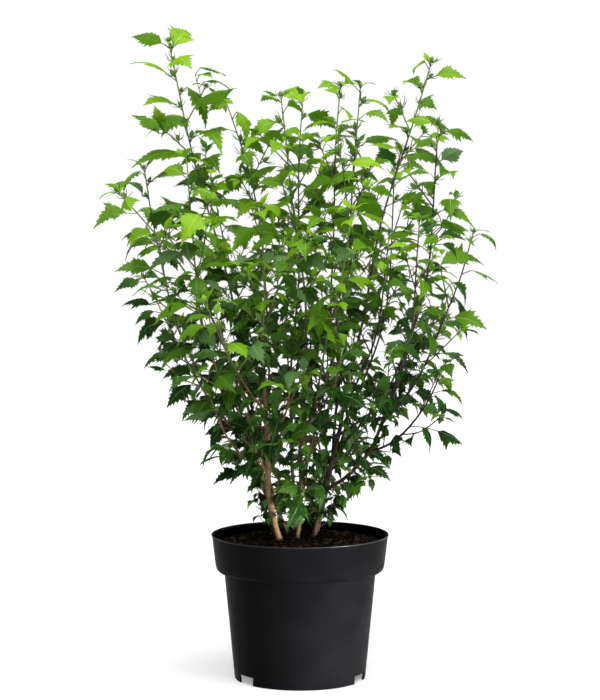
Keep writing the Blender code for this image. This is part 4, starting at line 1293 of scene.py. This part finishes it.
STALK_SEAT = 0.0015  # how far the stalk's end lies in under the blade
STALK_BEND_AT, STALK_BOW = 0.6, 0.10


class BladeGrid:
    """The grid of a blade: each point's column along the edge, share out from the rib, side and layer."""

    def __init__(self):
        self.keys, self.faces, self.parts = {}, [], []
        for side in (1, -1):
            self.cover(side, UPPER_ROWS, True)
            self.cover(side, LOWER_ROWS, False)
        columns, outs, sides, uppers = zip(*self.keys)
        self.column, self.out = np.array(columns), np.array(outs)
        self.side, self.lower = np.array(sides), 1.0 - np.array(uppers)
        self.parts = np.array(self.parts)

    def point(self, column, out, side, upper):
        if column in (0, LAST):
            key = (column, 0.0, 0, 1)
        elif out == 0.0:
            key = (column, 0.0, 0, int(upper))
        elif out == 1.0:
            key = (column, 1.0, side, 1)
        else:
            key = (column, out, side, int(upper))
        return self.keys.setdefault(key, len(self.keys))

    def cover(self, side, rows, upper):
        for column in range(LAST):
            for inner, outer in zip(rows, rows[1:]):
                corners = [
                    self.point(column, inner, side, upper),
                    self.point(column + 1, inner, side, upper),
                    self.point(column + 1, outer, side, upper),
                    self.point(column, outer, side, upper),
                ]
                ring = list(dict.fromkeys(corners))
                if len(ring) < 3:
                    continue
                if (side > 0) != upper:
                    ring.reverse()
                self.faces.append(tuple(ring))
                self.parts.append(2 if upper and outer == UPPER_ROWS[1] else 0 if upper else 1)


@functools.cache
def blade_grid():
    return BladeGrid()


def blade_points(leaf, seed, settings):
    """The points of one leaf's blade: toothed, more or less lobed, folded, arched, rippled and twisted."""
    rng = np.random.default_rng(random.Random(seed).getrandbits(32))
    grid = blade_grid()
    lobing = float(np.clip(rng.normal(settings.lobing + OLD_LOBING * leaf.age, LOBING_SCATTER), 0.0, 1.15))
    lobing *= min(1.0, leaf.size / FULL_LOBING_SIZE)
    edges = []
    for _ in (1, -1):
        edge = np.array(EDGE_WHOLE) + (np.array(EDGE_LOBED) - np.array(EDGE_WHOLE)) * lobing
        edge[1:-1, 1] *= 1 + rng.normal(0, EDGE_SCATTER[1], LAST - 1)
        edge[1:-1, 0] += rng.normal(0, EDGE_SCATTER[0], LAST - 1)
        edges.append(edge)
    edges = np.array(edges)
    rib = np.maximum.accumulate(edges[:, :, 0].mean(axis=0) - VEIN_LEAN * edges[:, :, 1].mean(axis=0))
    rib[0], rib[-1] = 0.0, 1.0
    mine = edges[(grid.side < 0).astype(int), grid.column]
    x = rib[grid.column] + (mine[:, 0] - rib[grid.column]) * grid.out
    y = mine[:, 1] * grid.out * grid.side * settings.blade_width * (1 + OLD_SPREAD * leaf.age)

    reach = np.abs(y)
    fold = rng.normal(settings.fold, FOLD_SCATTER)
    height = rng.uniform(*RIPPLE) * grid.out**2
    ripple = height * np.sin(rng.uniform(0, 6) + RIPPLES * x * (1 + 0.2 * grid.side))
    halfway = (grid.column >= FIRST_VEIN) & (grid.out == 0.5)
    on_vein = halfway & (grid.column % 2 == FIRST_VEIN % 2)
    between = halfway & ~on_vein
    cross = fold * reach - rng.uniform(*CUPPING) * y**2 + ripple + QUILT * between - SUNK_VEIN * on_vein
    thickness = np.where(grid.out == 0, RIB_THICKNESS, 1.0)
    cross -= grid.lower * settings.thickness / settings.blade_length * thickness
    turn = rng.normal(0, TWIST_SCATTER) * x
    y, cross = y * np.cos(turn) - cross * np.sin(turn), y * np.sin(turn) + cross * np.cos(turn)
    y += rng.normal(0, BEND_SCATTER) * x**2

    drop = DROP + OLD_MORE_DROP * leaf.age + rng.uniform(*DROP_SCATTER)
    curl = (rng.uniform(*CURL) + WIDEST_AT * drop) / (WIDEST_AT - WIDEST_AT**2)
    z = (curl - drop) * x - curl * x**2 + cross
    blade = settings.blade_length * leaf.size * (1 - OLD_BLADE_SHRINK * leaf.age)
    blade *= 1 - OPEN_BLADE_SHRINK * openness_at(leaf.root)
    base = leaf.root + leaf.rise * PETIOLE_LENGTH * leaf.size
    hang = rng.normal(settings.hang * (1 - leaf.age), HANG_SCATTER)
    run, up = turned(leaf.run, leaf.up, -hang), turned(leaf.up, leaf.run, hang)
    side = np.cross(up, run)
    return base + blade * (x[:, None] * run + y[:, None] * side + z[:, None] * up)


def leaf_tone(leaf, spray_shift, rng):
    """The tone of a leaf: lime at the tips, dark low and inside the crown, partly for older leaves and partly
    as painted shade, and a few with a painted grey sheen.
    """
    shaded = crown_age_at(leaf.root[2]) ** 1.5
    depth = HEIGHT_SHADE * shaded + INNER_SHADE * (1 - leaf.share) + spray_shift + rng.gauss(0, SHADE_SCATTER)
    if leaf.size < SMALL_LEAF:
        depth -= SMALL_LEAF_PALER * (1 - shaded)
    # Painted sheen: the grey-green tone for a few mid-depth leaves.
    if SHEEN_RANGE[0] < depth < SHEEN_RANGE[1] and rng.random() < SHEEN_SHARE:
        return LEAF_TONES.index("dusk")
    return sum(depth > limit for limit in TONE_LIMITS)


def lies_on(points, length, others):
    """True if a blade of that length nearly covers another one."""
    return any(np.linalg.norm(points - other, axis=1).mean() < BLADE_COVER * length for other in others)


def add_leaf(blades, stalks, leaf, seed, spray_shift, kind, settings, others=None):
    """One leaf: its blade with a paler rib and underside, and its stalk. None is laid on one of the others."""
    points = blade_points(leaf, seed, settings)
    if others is not None:
        if lies_on(points, settings.blade_length * leaf.size, others):
            return
        others.append(points)
    rng = random.Random(seed + "-tone")
    tone = leaf_tone(leaf, spray_shift, rng)
    young = tone < LEAF_TONES.index("deep")
    grid = blade_grid()
    # Young blades take the brighter underside, partly their paler underside and partly a painted glow of light
    # through them.
    finishes = np.array([tone, YOUNG_UNDER_BACKLIT if young else OLD_UNDER, YOUNG_VEIN if young else OLD_VEIN])
    blades.add(points, grid.faces, finishes[grid.parts].tolist())

    length = PETIOLE_LENGTH * leaf.size
    base = leaf.root + leaf.rise * length + leaf.run * STALK_SEAT
    bend = leaf.root + leaf.rise * length * STALK_BEND_AT + (leaf.rise - leaf.run) * length * STALK_BOW
    share = np.linspace(0, 1, len(STALK_WIDTHS))[:, None]
    radii = np.array(STALK_WIDTHS) * STALK_RADIUS * (0.6 + 0.4 * leaf.size)
    red = rng.random() < (RED_ON_PLUM if kind == "plum" else RED_ELSEWHERE)
    finish = WOODS.index("wine" if red else "tip" if young else "green")
    add_tube(stalks, bent(leaf.root, bend, base, share), radii, 5, finish)


# ---- Buds ----------------------------------------------------------------------------------------------------
BUD_TONES = ("bract", "bud")
BUD_STALK, BUD_STALK_RADIUS = 0.0055, 0.0008
CORE_LENGTH, CORE_RADIUS = 0.0085, 0.0026
CORE_SHARES, CORE_WIDTHS = (0.0, 0.2, 0.45, 0.7, 0.9, 1.0), (0.45, 0.85, 1.0, 0.8, 0.4, 0.08)
BRACT_LENGTH = (0.0075, 0.0135)
BRACT_RADIUS = 0.00045
BRACT_WIDTHS = (0.8, 1.0, 0.7, 0.12)
BRACT_BOW = 0.35
BRACT_SCATTER, BRACT_LEAN = (-0.3, 0.3), (0.25, 0.75)
BRACT_SEAT = 0.0012
TIP_LEAF_SIZES = (0.17, 0.36)
TIP_LEAF_COUNTS, TIP_LEAF_TURN, TIP_LEAF_PALER = (2, 3, 3, 4), 1.2, 0.3
TUFT_SIZES, BUD_SIZES = (0.6, 1.0), (0.75, 1.35)
BUDS_HIGH, BUDS_FALL = 0.85, 0.75  # the share of nodes with a bud at the crown's top, and how it falls
BUD_LEAN, BUD_SHIFT = (0.35, 0.8), 0.001  # out from the limb, and on from the node
STEM_BUDS_FROM, TWIG_BUDS_FROM = 0.15, 0.45  # the share of a limb below which none stands


def add_bract(batch, start, aim, side, length, width):
    """One narrow bract that bows outwards and up, ending in a point."""
    share = np.linspace(0, 1, len(BRACT_WIDTHS))[:, None]
    centres = start + aim * length * share + side * length * BRACT_BOW * np.sin(math.pi * share * 0.8)
    add_tube(batch, centres, width * np.array(BRACT_WIDTHS), 4, BUD_TONES.index("bract"))


def add_bud(batch, start, aim, size, seed, bracts=7):
    """A spiky bud on a short stalk: a green core in a ring of narrow bracts."""
    rng = random.Random(seed)
    spoke = unit(across(vec(0.3, 0.2, 0.9) if abs(aim[2]) < 0.8 else vec(1.0, 0.1, 0.0), aim))
    other = np.cross(aim, spoke)
    seat = start + aim * BUD_STALK * size
    stalk = np.array([start, (start + seat) / 2, seat])
    add_tube(batch, stalk, np.array([0.9, 0.8, 1.1]) * BUD_STALK_RADIUS * size, 5, BUD_TONES.index("bract"))
    core = seat + aim * np.array(CORE_SHARES)[:, None] * CORE_LENGTH * size
    add_tube(batch, core, np.array(CORE_WIDTHS) * CORE_RADIUS * size, 7, BUD_TONES.index("bud"))
    for index in range(bracts):
        angle = 2 * math.pi * index / bracts + rng.uniform(*BRACT_SCATTER)
        out = turned(spoke, other, angle)
        bract_aim = unit(aim + out * rng.uniform(*BRACT_LEAN))
        length = rng.uniform(*BRACT_LENGTH) * size
        width = BRACT_RADIUS * (0.6 + 0.4 * size)
        add_bract(batch, seat + out * BRACT_SEAT * size, bract_aim, out, length, width)


def young_leaf(limb, angle, size, rng):
    """A small upright leaf at a limb's tip."""
    leaf = leaf_at(limb, limb.length, angle, size, 0.0, rng)
    outward = outward_at(limb.tangent(limb.length), angle)
    leaf.rise = unit(limb.tangent(limb.length) + outward * 0.5)
    leaf.run = unit(leaf.rise * 0.8 + outward * rng.uniform(0.3, 1.2) + vec(0, 0, 0.2))
    leaf.up = unit(across(vec(0, 0, 1.0) - outward * 0.8, leaf.run))
    return leaf


def dress_tip(blades, stalks, buds, limb, angle, key, kind, settings):
    """The growing tip of a shoot or twig: a few tiny leaves round a tuft of bracts."""
    rng = random.Random(key + "-tip")
    for index in range(rng.choice(TIP_LEAF_COUNTS)):
        size = rng.uniform(*TIP_LEAF_SIZES)
        leaf = young_leaf(limb, angle + index * LEAF_TURN + TIP_LEAF_TURN, size, rng)
        shift = -TIP_LEAF_PALER * (1 - crown_age_at(leaf.root[2]))
        add_leaf(blades, stalks, leaf, f"{key}-tip-{index}", shift, kind, settings)
    end = limb.place(limb.length)
    add_bud(buds, end, limb.tangent(limb.length), rng.uniform(*TUFT_SIZES), key + "-tuft", bracts=6)


def bud_places(mass):
    """(start, aim, size, key) of the buds in the axils of a mass's upper leaves."""
    rng = random.Random(mass.shoot.name + "-buds")
    limbs = [(mass.stem, mass.first + INTERNODE * FIRST_NODE, mass.phase, STEM_BUDS_FROM)]
    limbs += [(twig, INTERNODE * TWIG_FIRST_NODE, rng.uniform(0, 6), TWIG_BUDS_FROM) for twig in mass.twigs]
    for number, (limb, first, phase, lowest) in enumerate(limbs):
        for node, mark, share in leaf_nodes(limb, first):
            chance = BUDS_HIGH - BUDS_FALL * crown_age_at(limb.place(mark)[2])
            if share < lowest or rng.random() > chance:
                continue
            onward = limb.tangent(mark)
            outward = outward_at(onward, phase + node * LEAF_TURN)
            aim = unit(onward + outward * rng.uniform(*BUD_LEAN))
            key = f"{mass.shoot.name}-{number}-{node}"
            yield limb.place(mark + BUD_SHIFT), aim, rng.uniform(*BUD_SIZES), key


# ---- Settings ------------------------------------------------------------------------------------------------
def colour_setting(name, description, default):
    return bpy.props.FloatVectorProperty(
        name=name, description=description, default=default, subtype="COLOR", size=3, min=0.0, max=1.0
    )


def size_setting(name, description, default):
    return bpy.props.FloatProperty(name=name, description=description, default=default, min=0.0, unit="LENGTH")


def share_setting(name, description, default, low=0.0, high=1.0):
    return bpy.props.FloatProperty(
        name=name, description=description, default=default, min=low, max=high, subtype="FACTOR"
    )


class PotSettings(bpy.types.PropertyGroup):
    """The nursery pot and what fills it."""

    plastic: colour_setting("Plastic", "Colour of the moulded pot", (0.0028, 0.0028, 0.0032))
    # The rim's edge colour is paler than the plastic: a painted highlight along the lip, where light catches
    # it.
    edge: colour_setting("Edge", "Colour of the rim's worn edge", (0.010, 0.0095, 0.0090))
    roughness: share_setting("Roughness", "How matt the pot's skin is", 0.46)
    peat: colour_setting("Peat", "Colour of the moist soil", (0.0045, 0.0029, 0.0021))
    crumb: colour_setting("Crumb", "Colour of the redder crumbs in it", (0.105, 0.050, 0.027))
    crumb_size: size_setting("Crumb Size", "Half the width of a middling crumb", 0.0023)
    crumb_count: bpy.props.IntProperty(
        name="Crumbs", description="How many loose crumbs lie on the soil", default=900, min=0, max=4000
    )


class WoodSettings(bpy.types.PropertyGroup):
    """The stems, boughs, shoots and twigs."""

    furrow: share_setting("Furrow", "How deep the bark's furrows are", 0.11)
    tan: colour_setting("Tan Bark", "Bark of the stems on the left", (0.190, 0.115, 0.052))
    brown: colour_setting("Brown Bark", "Bark of the stems in the middle", (0.100, 0.068, 0.038))
    plum: colour_setting("Plum Bark", "Bark of the stems on the right", (0.042, 0.024, 0.018))
    olive: colour_setting("Olive Wood", "Wood between bark and green shoots", (0.125, 0.130, 0.042))
    green: colour_setting("Green Wood", "Shoots and older leaf stalks", (0.110, 0.200, 0.032))
    wine: colour_setting("Wine Wood", "Reddish shoots and stalks", (0.062, 0.036, 0.020))
    tip: colour_setting("Tip Wood", "Tips of the shoots and young leaf stalks", (0.230, 0.400, 0.050))


class LeafSettings(bpy.types.PropertyGroup):
    """The leaves: their form, how many fill the crown, and their tones."""

    fill: share_setting("Fill", "How many of the free places the finer growth takes", 0.28)
    blade_length: size_setting("Blade Length", "Length of a full-grown blade", 0.073)
    blade_width: share_setting("Blade Width", "Width of a blade against its outline", 0.94)
    lobing: share_setting("Lobing", "How deeply the blades are lobed", 0.50)
    fold: share_setting("Fold", "How far the blades fold up along the rib", 0.10, -1.0, 1.0)
    hang: bpy.props.FloatProperty(
        name="Hang", description="How far young blades hang from their stalks", default=0.34, subtype="ANGLE"
    )
    thickness: size_setting("Thickness", "Thickness of a blade beside its rib", 0.0006)
    roughness: share_setting("Roughness", "How matt a leaf's skin is", 0.46)
    lime: colour_setting("Lime", "The youngest leaves", (0.255, 0.490, 0.006))
    spring: colour_setting("Spring Green", "Young leaves", (0.185, 0.395, 0.006))
    green: colour_setting("Green", "Full-grown leaves", (0.125, 0.300, 0.006))
    # The deep, dark and shade tones are partly older leaves' own green and partly painted shade inside and low
    # in the crown.
    deep: colour_setting("Deep Green", "Leaves inside the crown", (0.075, 0.200, 0.006))
    dark: colour_setting("Dark Green", "Old leaves", (0.034, 0.104, 0.006))
    shade: colour_setting("Shade Green", "The lowest leaves", (0.014, 0.048, 0.005))
    # Painted sheen: a grey-green base colour that stands in for the soft reflection on a leaf's skin.
    dusk: colour_setting("Dusk", "Leaves with a grey sheen", (0.095, 0.200, 0.060))
    # Painted light: young undersides are brighter and greener than their own pale green, standing in for light
    # shining through the thin blades.
    young_under: colour_setting("Young Underside", "Underside of young leaves", (0.160, 0.370, 0.016))
    old_under: colour_setting("Old Underside", "Underside of old leaves", (0.050, 0.150, 0.014))
    young_vein: colour_setting("Young Rib", "Rib of young leaves", (0.380, 0.600, 0.110))
    old_vein: colour_setting("Old Rib", "Rib of old leaves", (0.170, 0.320, 0.070))
    bract: colour_setting("Bract", "Bracts and bud stalks", (0.070, 0.150, 0.025))
    bud: colour_setting("Bud", "Cores of the buds", (0.180, 0.340, 0.040))


class StudioSettings(bpy.types.PropertyGroup):
    """The floor and the light."""

    floor: colour_setting("Floor", "Colour of the floor", (0.94, 0.94, 0.94))
    sky: share_setting("Sky", "Light from all round", 0.12, 0.0, 4.0)
    overhead: bpy.props.FloatProperty(
        name="Overhead", description="Strength of the even light overhead", default=4.0, min=0.0
    )
    side: bpy.props.FloatProperty(
        name="Side", description="Power of the soft lamp on the right", default=3.8, min=0.0, unit="POWER"
    )
    lens: bpy.props.FloatProperty(
        name="Lens", description="Focal length of the camera, in millimetres", default=111.9, min=10.0
    )


# ---- Operators -----------------------------------------------------------------------------------------------
class HIBISCUS_OT_pot(bpy.types.Operator):
    """Mould the nursery pot"""

    bl_idname = "hibiscus.pot"
    bl_label = "Pot"

    def execute(self, context):
        settings = context.scene.hibiscus_pot
        pot = stand("pot_shell", turned_mesh("pot_shell", pot_profile(), POT_SIDES))
        cut_notches(pot)
        shade(pot.data, POT_CREASE)
        pot.data.materials.clear()
        pot.data.materials.append(pot_finish("pot_plastic", settings.plastic, settings.roughness, 0.015))
        # The second finish is the paler lip colour, a painted highlight on the rim's edge; the faces above
        # LIP_EDGE get it.
        pot.data.materials.append(pot_finish("pot_edge", settings.edge, settings.roughness - 0.08, 0.20))
        for face in pot.data.polygons:
            face.material_index = int(face.center.z > LIP_EDGE)
        claim(pot, ["pot"])
        return {"FINISHED"}


class HIBISCUS_OT_soil(bpy.types.Operator):
    """Fill the pot with peat and strew crumbs on it"""

    bl_idname = "hibiscus.soil"
    bl_label = "Soil"

    def execute(self, context):
        settings = context.scene.hibiscus_pot
        gap = WALL + CLEARANCE * 2
        collar_low = COLLAR_STEP + COLLAR_ROUNDING
        below = [
            (0.0, FOOT_HEIGHT + gap),
            (body_radius(FOOT_HEIGHT) - gap, FOOT_HEIGHT + gap),
            (body_radius(COLLAR_STEP) - gap, COLLAR_STEP + gap),
            (COLLAR_BOTTOM_RADIUS - COLLAR_ROUNDING * 0.3 - gap - 0.002, COLLAR_STEP + gap),
            (COLLAR_BOTTOM_RADIUS - gap - 0.001, collar_low + 0.002),
        ]
        rings = np.linspace(SOIL_EDGE_RADIUS, 0.0, SOIL_RINGS)
        surface = [(radius, soil_height(radius)) for radius in rings]
        finish = soil_finish("soil", settings.peat, settings.crumb)
        mesh = turned_mesh("soil_bed", below + surface, SOIL_SIDES, soil_lumps)
        mesh.materials.append(finish)
        shade(mesh)
        claim(stand("soil_bed", mesh), ["soil"])
        self.strew(settings, finish)
        return {"FINISHED"}

    @staticmethod
    def strew(settings, finish):
        rng = random.Random("crumbs")
        feet = [stem.foot for stem in STEMS]
        batch = Batch()
        while len(batch.points) < settings.crumb_count:
            size = settings.crumb_size * rng.uniform(*CRUMB_SIZES) * rng.choice((1.0, 1.0, 1.0, BIG_CRUMB))
            radius = (SOIL_EDGE_RADIUS - 1.6 * size) * math.sqrt(rng.random())
            angle = rng.uniform(0, 2 * math.pi)
            x, y = radius * math.cos(angle), radius * math.sin(angle)
            if min(math.hypot(x - foot[0], y - foot[1]) for foot in feet) < STEM_ROOM + size:
                continue
            points, faces = crumb_solid(rng, size)
            place = vec(x, y, soil_height(radius) + size * CRUMB_SUNK)
            batch.add(points + place, faces, rng.choice((0, 0, 0, 1)))
        crumb = soil_finish("soil_crumb", settings.crumb, [part * 1.9 for part in settings.crumb])
        batch.piece("soil_crumbs", [finish, crumb], 50, "soil")


def wood_materials():
    """The bark and stalk finishes, in the order of WOODS."""
    settings = bpy.context.scene.hibiscus_wood
    return [
        (bark_finish if wood in WOOD_LADDERS else stalk_finish)(f"wood_{wood}", getattr(settings, wood))
        for wood in WOODS
    ]


class HIBISCUS_OT_stems(bpy.types.Operator):
    """Grow the seven barked stems and the boughs that fork from them"""

    bl_idname = "hibiscus.stems"
    bl_label = "Stems and Boughs"

    def execute(self, context):
        settings = context.scene.hibiscus_wood
        limbs = grown_limbs()
        stems, boughs = Batch(), Batch()
        for stem in STEMS:
            length = limbs[stem.name].length
            add_limb(stems, stem.name, -FOOT_SUNK, length, STEM_SIDES, STEM_RING, settings.furrow, joint=False)
        stems.piece("stems", wood_materials(), 50, "bark", [stem.name for stem in STEMS])
        names = [SIDE_BOUGH.name]
        length = limbs[SIDE_BOUGH.name].length
        add_limb(boughs, SIDE_BOUGH.name, 0, length, BOUGH_SIDES, STEM_RING, settings.furrow)
        for shoot in SHOOTS:
            if shoot.bare:
                cut = shoot.bare * limbs[shoot.name].length
                joint = shoot.along < 1
                add_limb(boughs, shoot.name, 0, cut, BOUGH_SIDES, STEM_RING, settings.furrow * 0.7, joint)
                names.append(shoot.name)
        boughs.piece("boughs", wood_materials(), 50, "green_wood", [f"bough_{name}" for name in names])
        return {"FINISHED"}


class HIBISCUS_OT_foliage(bpy.types.Operator):
    """Grow the leafy shoots of one side of the crown: stems, twigs, leaf stalks and leaves"""

    bl_idname = "hibiscus.foliage"
    bl_label = "Foliage"

    side: bpy.props.EnumProperty(
        name="Side",
        description="The part of the crown to grow",
        items=[(side, side.capitalize(), f"The {side} of the crown") for side in CROWN_SIDES],
    )

    def execute(self, context):
        settings = context.scene.hibiscus_leaf
        masses = grown_masses(settings.fill)
        limbs = grown_limbs()
        blades, sprays, buds = Batch(), Batch(), Batch()
        names = CROWN_SIDES[self.side]
        for name in names:
            mass, kind = masses[name], bark_kind(name)
            cut = mass.shoot.bare * limbs[name].length
            joint = mass.shoot.along < 1 and not mass.shoot.bare
            add_limb(sprays, name, cut, limbs[name].length, SHOOT_SIDES, SHOOT_RING, joint=joint)
            for twig in (*mass.twigs, *mass.sprigs):
                add_twig(sprays, twig, kind)
            shift = random.Random(name + "-shade").uniform(*SPRAY_SHADES)
            drawn = []
            for index, leaf in enumerate(mass.leaves):
                add_leaf(blades, sprays, leaf, f"{name}-{index}", shift, kind, settings, drawn)
            for limb, angle, key in mass.tips:
                dress_tip(blades, sprays, buds, limb, angle, key, kind, settings)
            for start, aim, size, key in bud_places(mass):
                add_bud(buds, start, aim, size, key)
        nodes = [f"foliage_{name}" for name in names]
        blades.piece(f"leaves_{self.side}", leaf_materials(), 40, "foliage", nodes)
        sprays.piece(f"sprays_{self.side}", wood_materials(), 50, "green_wood", nodes)
        buds.piece(f"buds_{self.side}", bud_materials(), 50, "foliage")
        return {"FINISHED"}


def leaf_materials():
    """The leaf finishes: the tones, then the undersides and the ribs."""
    settings = bpy.context.scene.hibiscus_leaf
    names = (*LEAF_TONES, "young_under", "old_under", "young_vein", "old_vein")
    return [
        leaf_finish(f"leaf_{name}", getattr(settings, name), settings.roughness + 0.12 * ("under" in name))
        for name in names
    ]


def bud_materials():
    settings = bpy.context.scene.hibiscus_leaf
    return [stalk_finish(name, getattr(settings, name)) for name in BUD_TONES]


WHITE = (1.0, 1.0, 1.0, 1.0)
FLOOR_RADIUS, FLOOR_DROP = 6.0, 0.0002
SUN_WIDTH, SUN_LEAN = math.radians(70), (math.radians(14), math.radians(6), 0.0)
LAMP_PLACE, LAMP_TARGET = Vector((1.5, -1.0, 0.14)), Vector((0.0, 0.0, 0.05))
LAMP_WIDTH, LAMP_HEIGHT, LAMP_SPREAD = 0.7, 0.2, math.radians(15)
CAMERA_PLACE, CAMERA_DIP, SENSOR_WIDTH = (0.0, -2.8, 0.62), math.radians(3.96), 36.0


class HIBISCUS_OT_studio(bpy.types.Operator):
    """Set up the pale floor, the soft light and the camera"""

    bl_idname = "hibiscus.studio"
    bl_label = "Studio"

    def execute(self, context):
        settings = context.scene.hibiscus_studio
        floor = self.lay_floor(settings)
        self.hang_sun(settings)
        self.hang_lamp("side", settings.side, floor, "EXCLUDE")
        self.hang_lamp("wash", settings.side, floor, "INCLUDE")
        self.light_sky(context, settings)
        self.place_camera(context, settings)
        return {"FINISHED"}

    @staticmethod
    def lay_floor(settings):
        mesh = bpy.data.meshes.new("floor")
        edit = bmesh.new()
        bmesh.ops.create_circle(edit, cap_ends=True, radius=FLOOR_RADIUS, segments=96)
        bmesh.ops.translate(edit, verts=edit.verts, vec=(0.0, 0.0, -FLOOR_DROP))
        edit.to_mesh(mesh)
        edit.free()
        finish = Finish("floor", settings.floor, 0.9, specular=0.1)
        finish.relief(finish.noise(0.4), 0.0005, 0.1)
        mesh.materials.append(finish.material)
        floor = stand("floor", mesh)
        floor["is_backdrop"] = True
        return floor

    @staticmethod
    def hang_sun(settings):
        """Even light from a wide patch of sky overhead, a little to the front."""
        light = bpy.data.lights.new("overhead", "SUN")
        light.energy, light.angle = settings.overhead, SUN_WIDTH
        stand("overhead", light).rotation_euler = SUN_LEAN

    @staticmethod
    def hang_lamp(name, power, floor, floor_state):
        """A soft lamp low on the right, kept off the floor, or its shadowless twin for the floor alone."""
        light = bpy.data.lights.new(name, "AREA")
        light.shape, light.size, light.size_y, light.energy = "RECTANGLE", LAMP_WIDTH, LAMP_HEIGHT, power
        light.spread = LAMP_SPREAD
        light.use_shadow = floor_state == "EXCLUDE"
        lamp = stand(name, light)
        lamp.location = LAMP_PLACE
        lamp.rotation_euler = (LAMP_TARGET - LAMP_PLACE).to_track_quat("-Z", "Y").to_euler()
        lit = bpy.data.collections.new(f"lit by {name}")
        lit.objects.link(floor)
        lamp.light_linking.receiver_collection = lit
        lit.collection_objects[0].light_linking.link_state = floor_state

    @staticmethod
    def light_sky(context, settings):
        """White behind everything, and softer light from all round."""
        world = bpy.data.worlds.new("studio")
        world.use_nodes = True
        nodes, links = world.node_tree.nodes, world.node_tree.links
        soft, seen = nodes["Background"], nodes.new("ShaderNodeBackground")
        for background, strength in ((soft, settings.sky), (seen, 1.0)):
            background.inputs["Strength"].default_value = strength
            background.inputs["Color"].default_value = WHITE
        path = nodes.new("ShaderNodeLightPath")
        mix = nodes.new("ShaderNodeMixShader")
        links.new(path.outputs["Is Camera Ray"], mix.inputs["Fac"])
        links.new(soft.outputs["Background"], mix.inputs[1])
        links.new(seen.outputs["Background"], mix.inputs[2])
        links.new(mix.outputs["Shader"], nodes["World Output"].inputs["Surface"])
        context.scene.world = world

    @staticmethod
    def place_camera(context, settings):
        camera = bpy.data.cameras.new("camera")
        camera.lens, camera.sensor_width = settings.lens, SENSOR_WIDTH
        view = stand("camera", camera)
        view.location, view.rotation_euler = CAMERA_PLACE, (math.pi / 2 - CAMERA_DIP, 0.0, 0.0)
        context.scene.camera = view
        context.scene.view_settings.view_transform = "Standard"


# ---- Sidebar panel -------------------------------------------------------------------------------------------
class HIBISCUS_PT_shrub(bpy.types.Panel):
    """The shrub's settings and makers"""

    bl_idname = "HIBISCUS_PT_shrub"
    bl_label = "Potted Hibiscus"
    bl_space_type = "VIEW_3D"
    bl_region_type = "UI"
    bl_category = "Hibiscus"

    def draw(self, context):
        for key, group, operators in PANEL_ROWS:
            box = self.layout.box()
            settings = getattr(context.scene, key)
            for name in group.__annotations__:
                box.prop(settings, name)
            for operator in operators:
                if operator is HIBISCUS_OT_foliage:
                    for side in CROWN_SIDES:
                        box.operator(operator.bl_idname, text=f"Foliage, {side}").side = side
                else:
                    box.operator(operator.bl_idname)


PANEL_ROWS = (
    ("hibiscus_pot", PotSettings, (HIBISCUS_OT_pot, HIBISCUS_OT_soil)),
    ("hibiscus_wood", WoodSettings, (HIBISCUS_OT_stems,)),
    ("hibiscus_leaf", LeafSettings, (HIBISCUS_OT_foliage,)),
    ("hibiscus_studio", StudioSettings, (HIBISCUS_OT_studio,)),
)


def register():
    for key, group, operators in PANEL_ROWS:
        bpy.utils.register_class(group)
        setattr(bpy.types.Scene, key, bpy.props.PointerProperty(type=group))
        for operator in operators:
            bpy.utils.register_class(operator)
    bpy.utils.register_class(HIBISCUS_PT_shrub)


def unregister():
    bpy.utils.unregister_class(HIBISCUS_PT_shrub)
    for key, group, operators in reversed(PANEL_ROWS):
        for operator in reversed(operators):
            bpy.utils.unregister_class(operator)
        delattr(bpy.types.Scene, key)
        bpy.utils.unregister_class(group)


def main():
    register()
    bpy.ops.hibiscus.studio()
    bpy.ops.hibiscus.pot()
    bpy.ops.hibiscus.soil()
    bpy.ops.hibiscus.stems()
    for side in CROWN_SIDES:
        bpy.ops.hibiscus.foliage(side=side)
    boxes = {"cad": CAD_BOX, "visual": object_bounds()}
    sizes = {name: [list(corner) for corner in box] for name, box in boxes.items()}


if __name__ == "__main__":
    main()
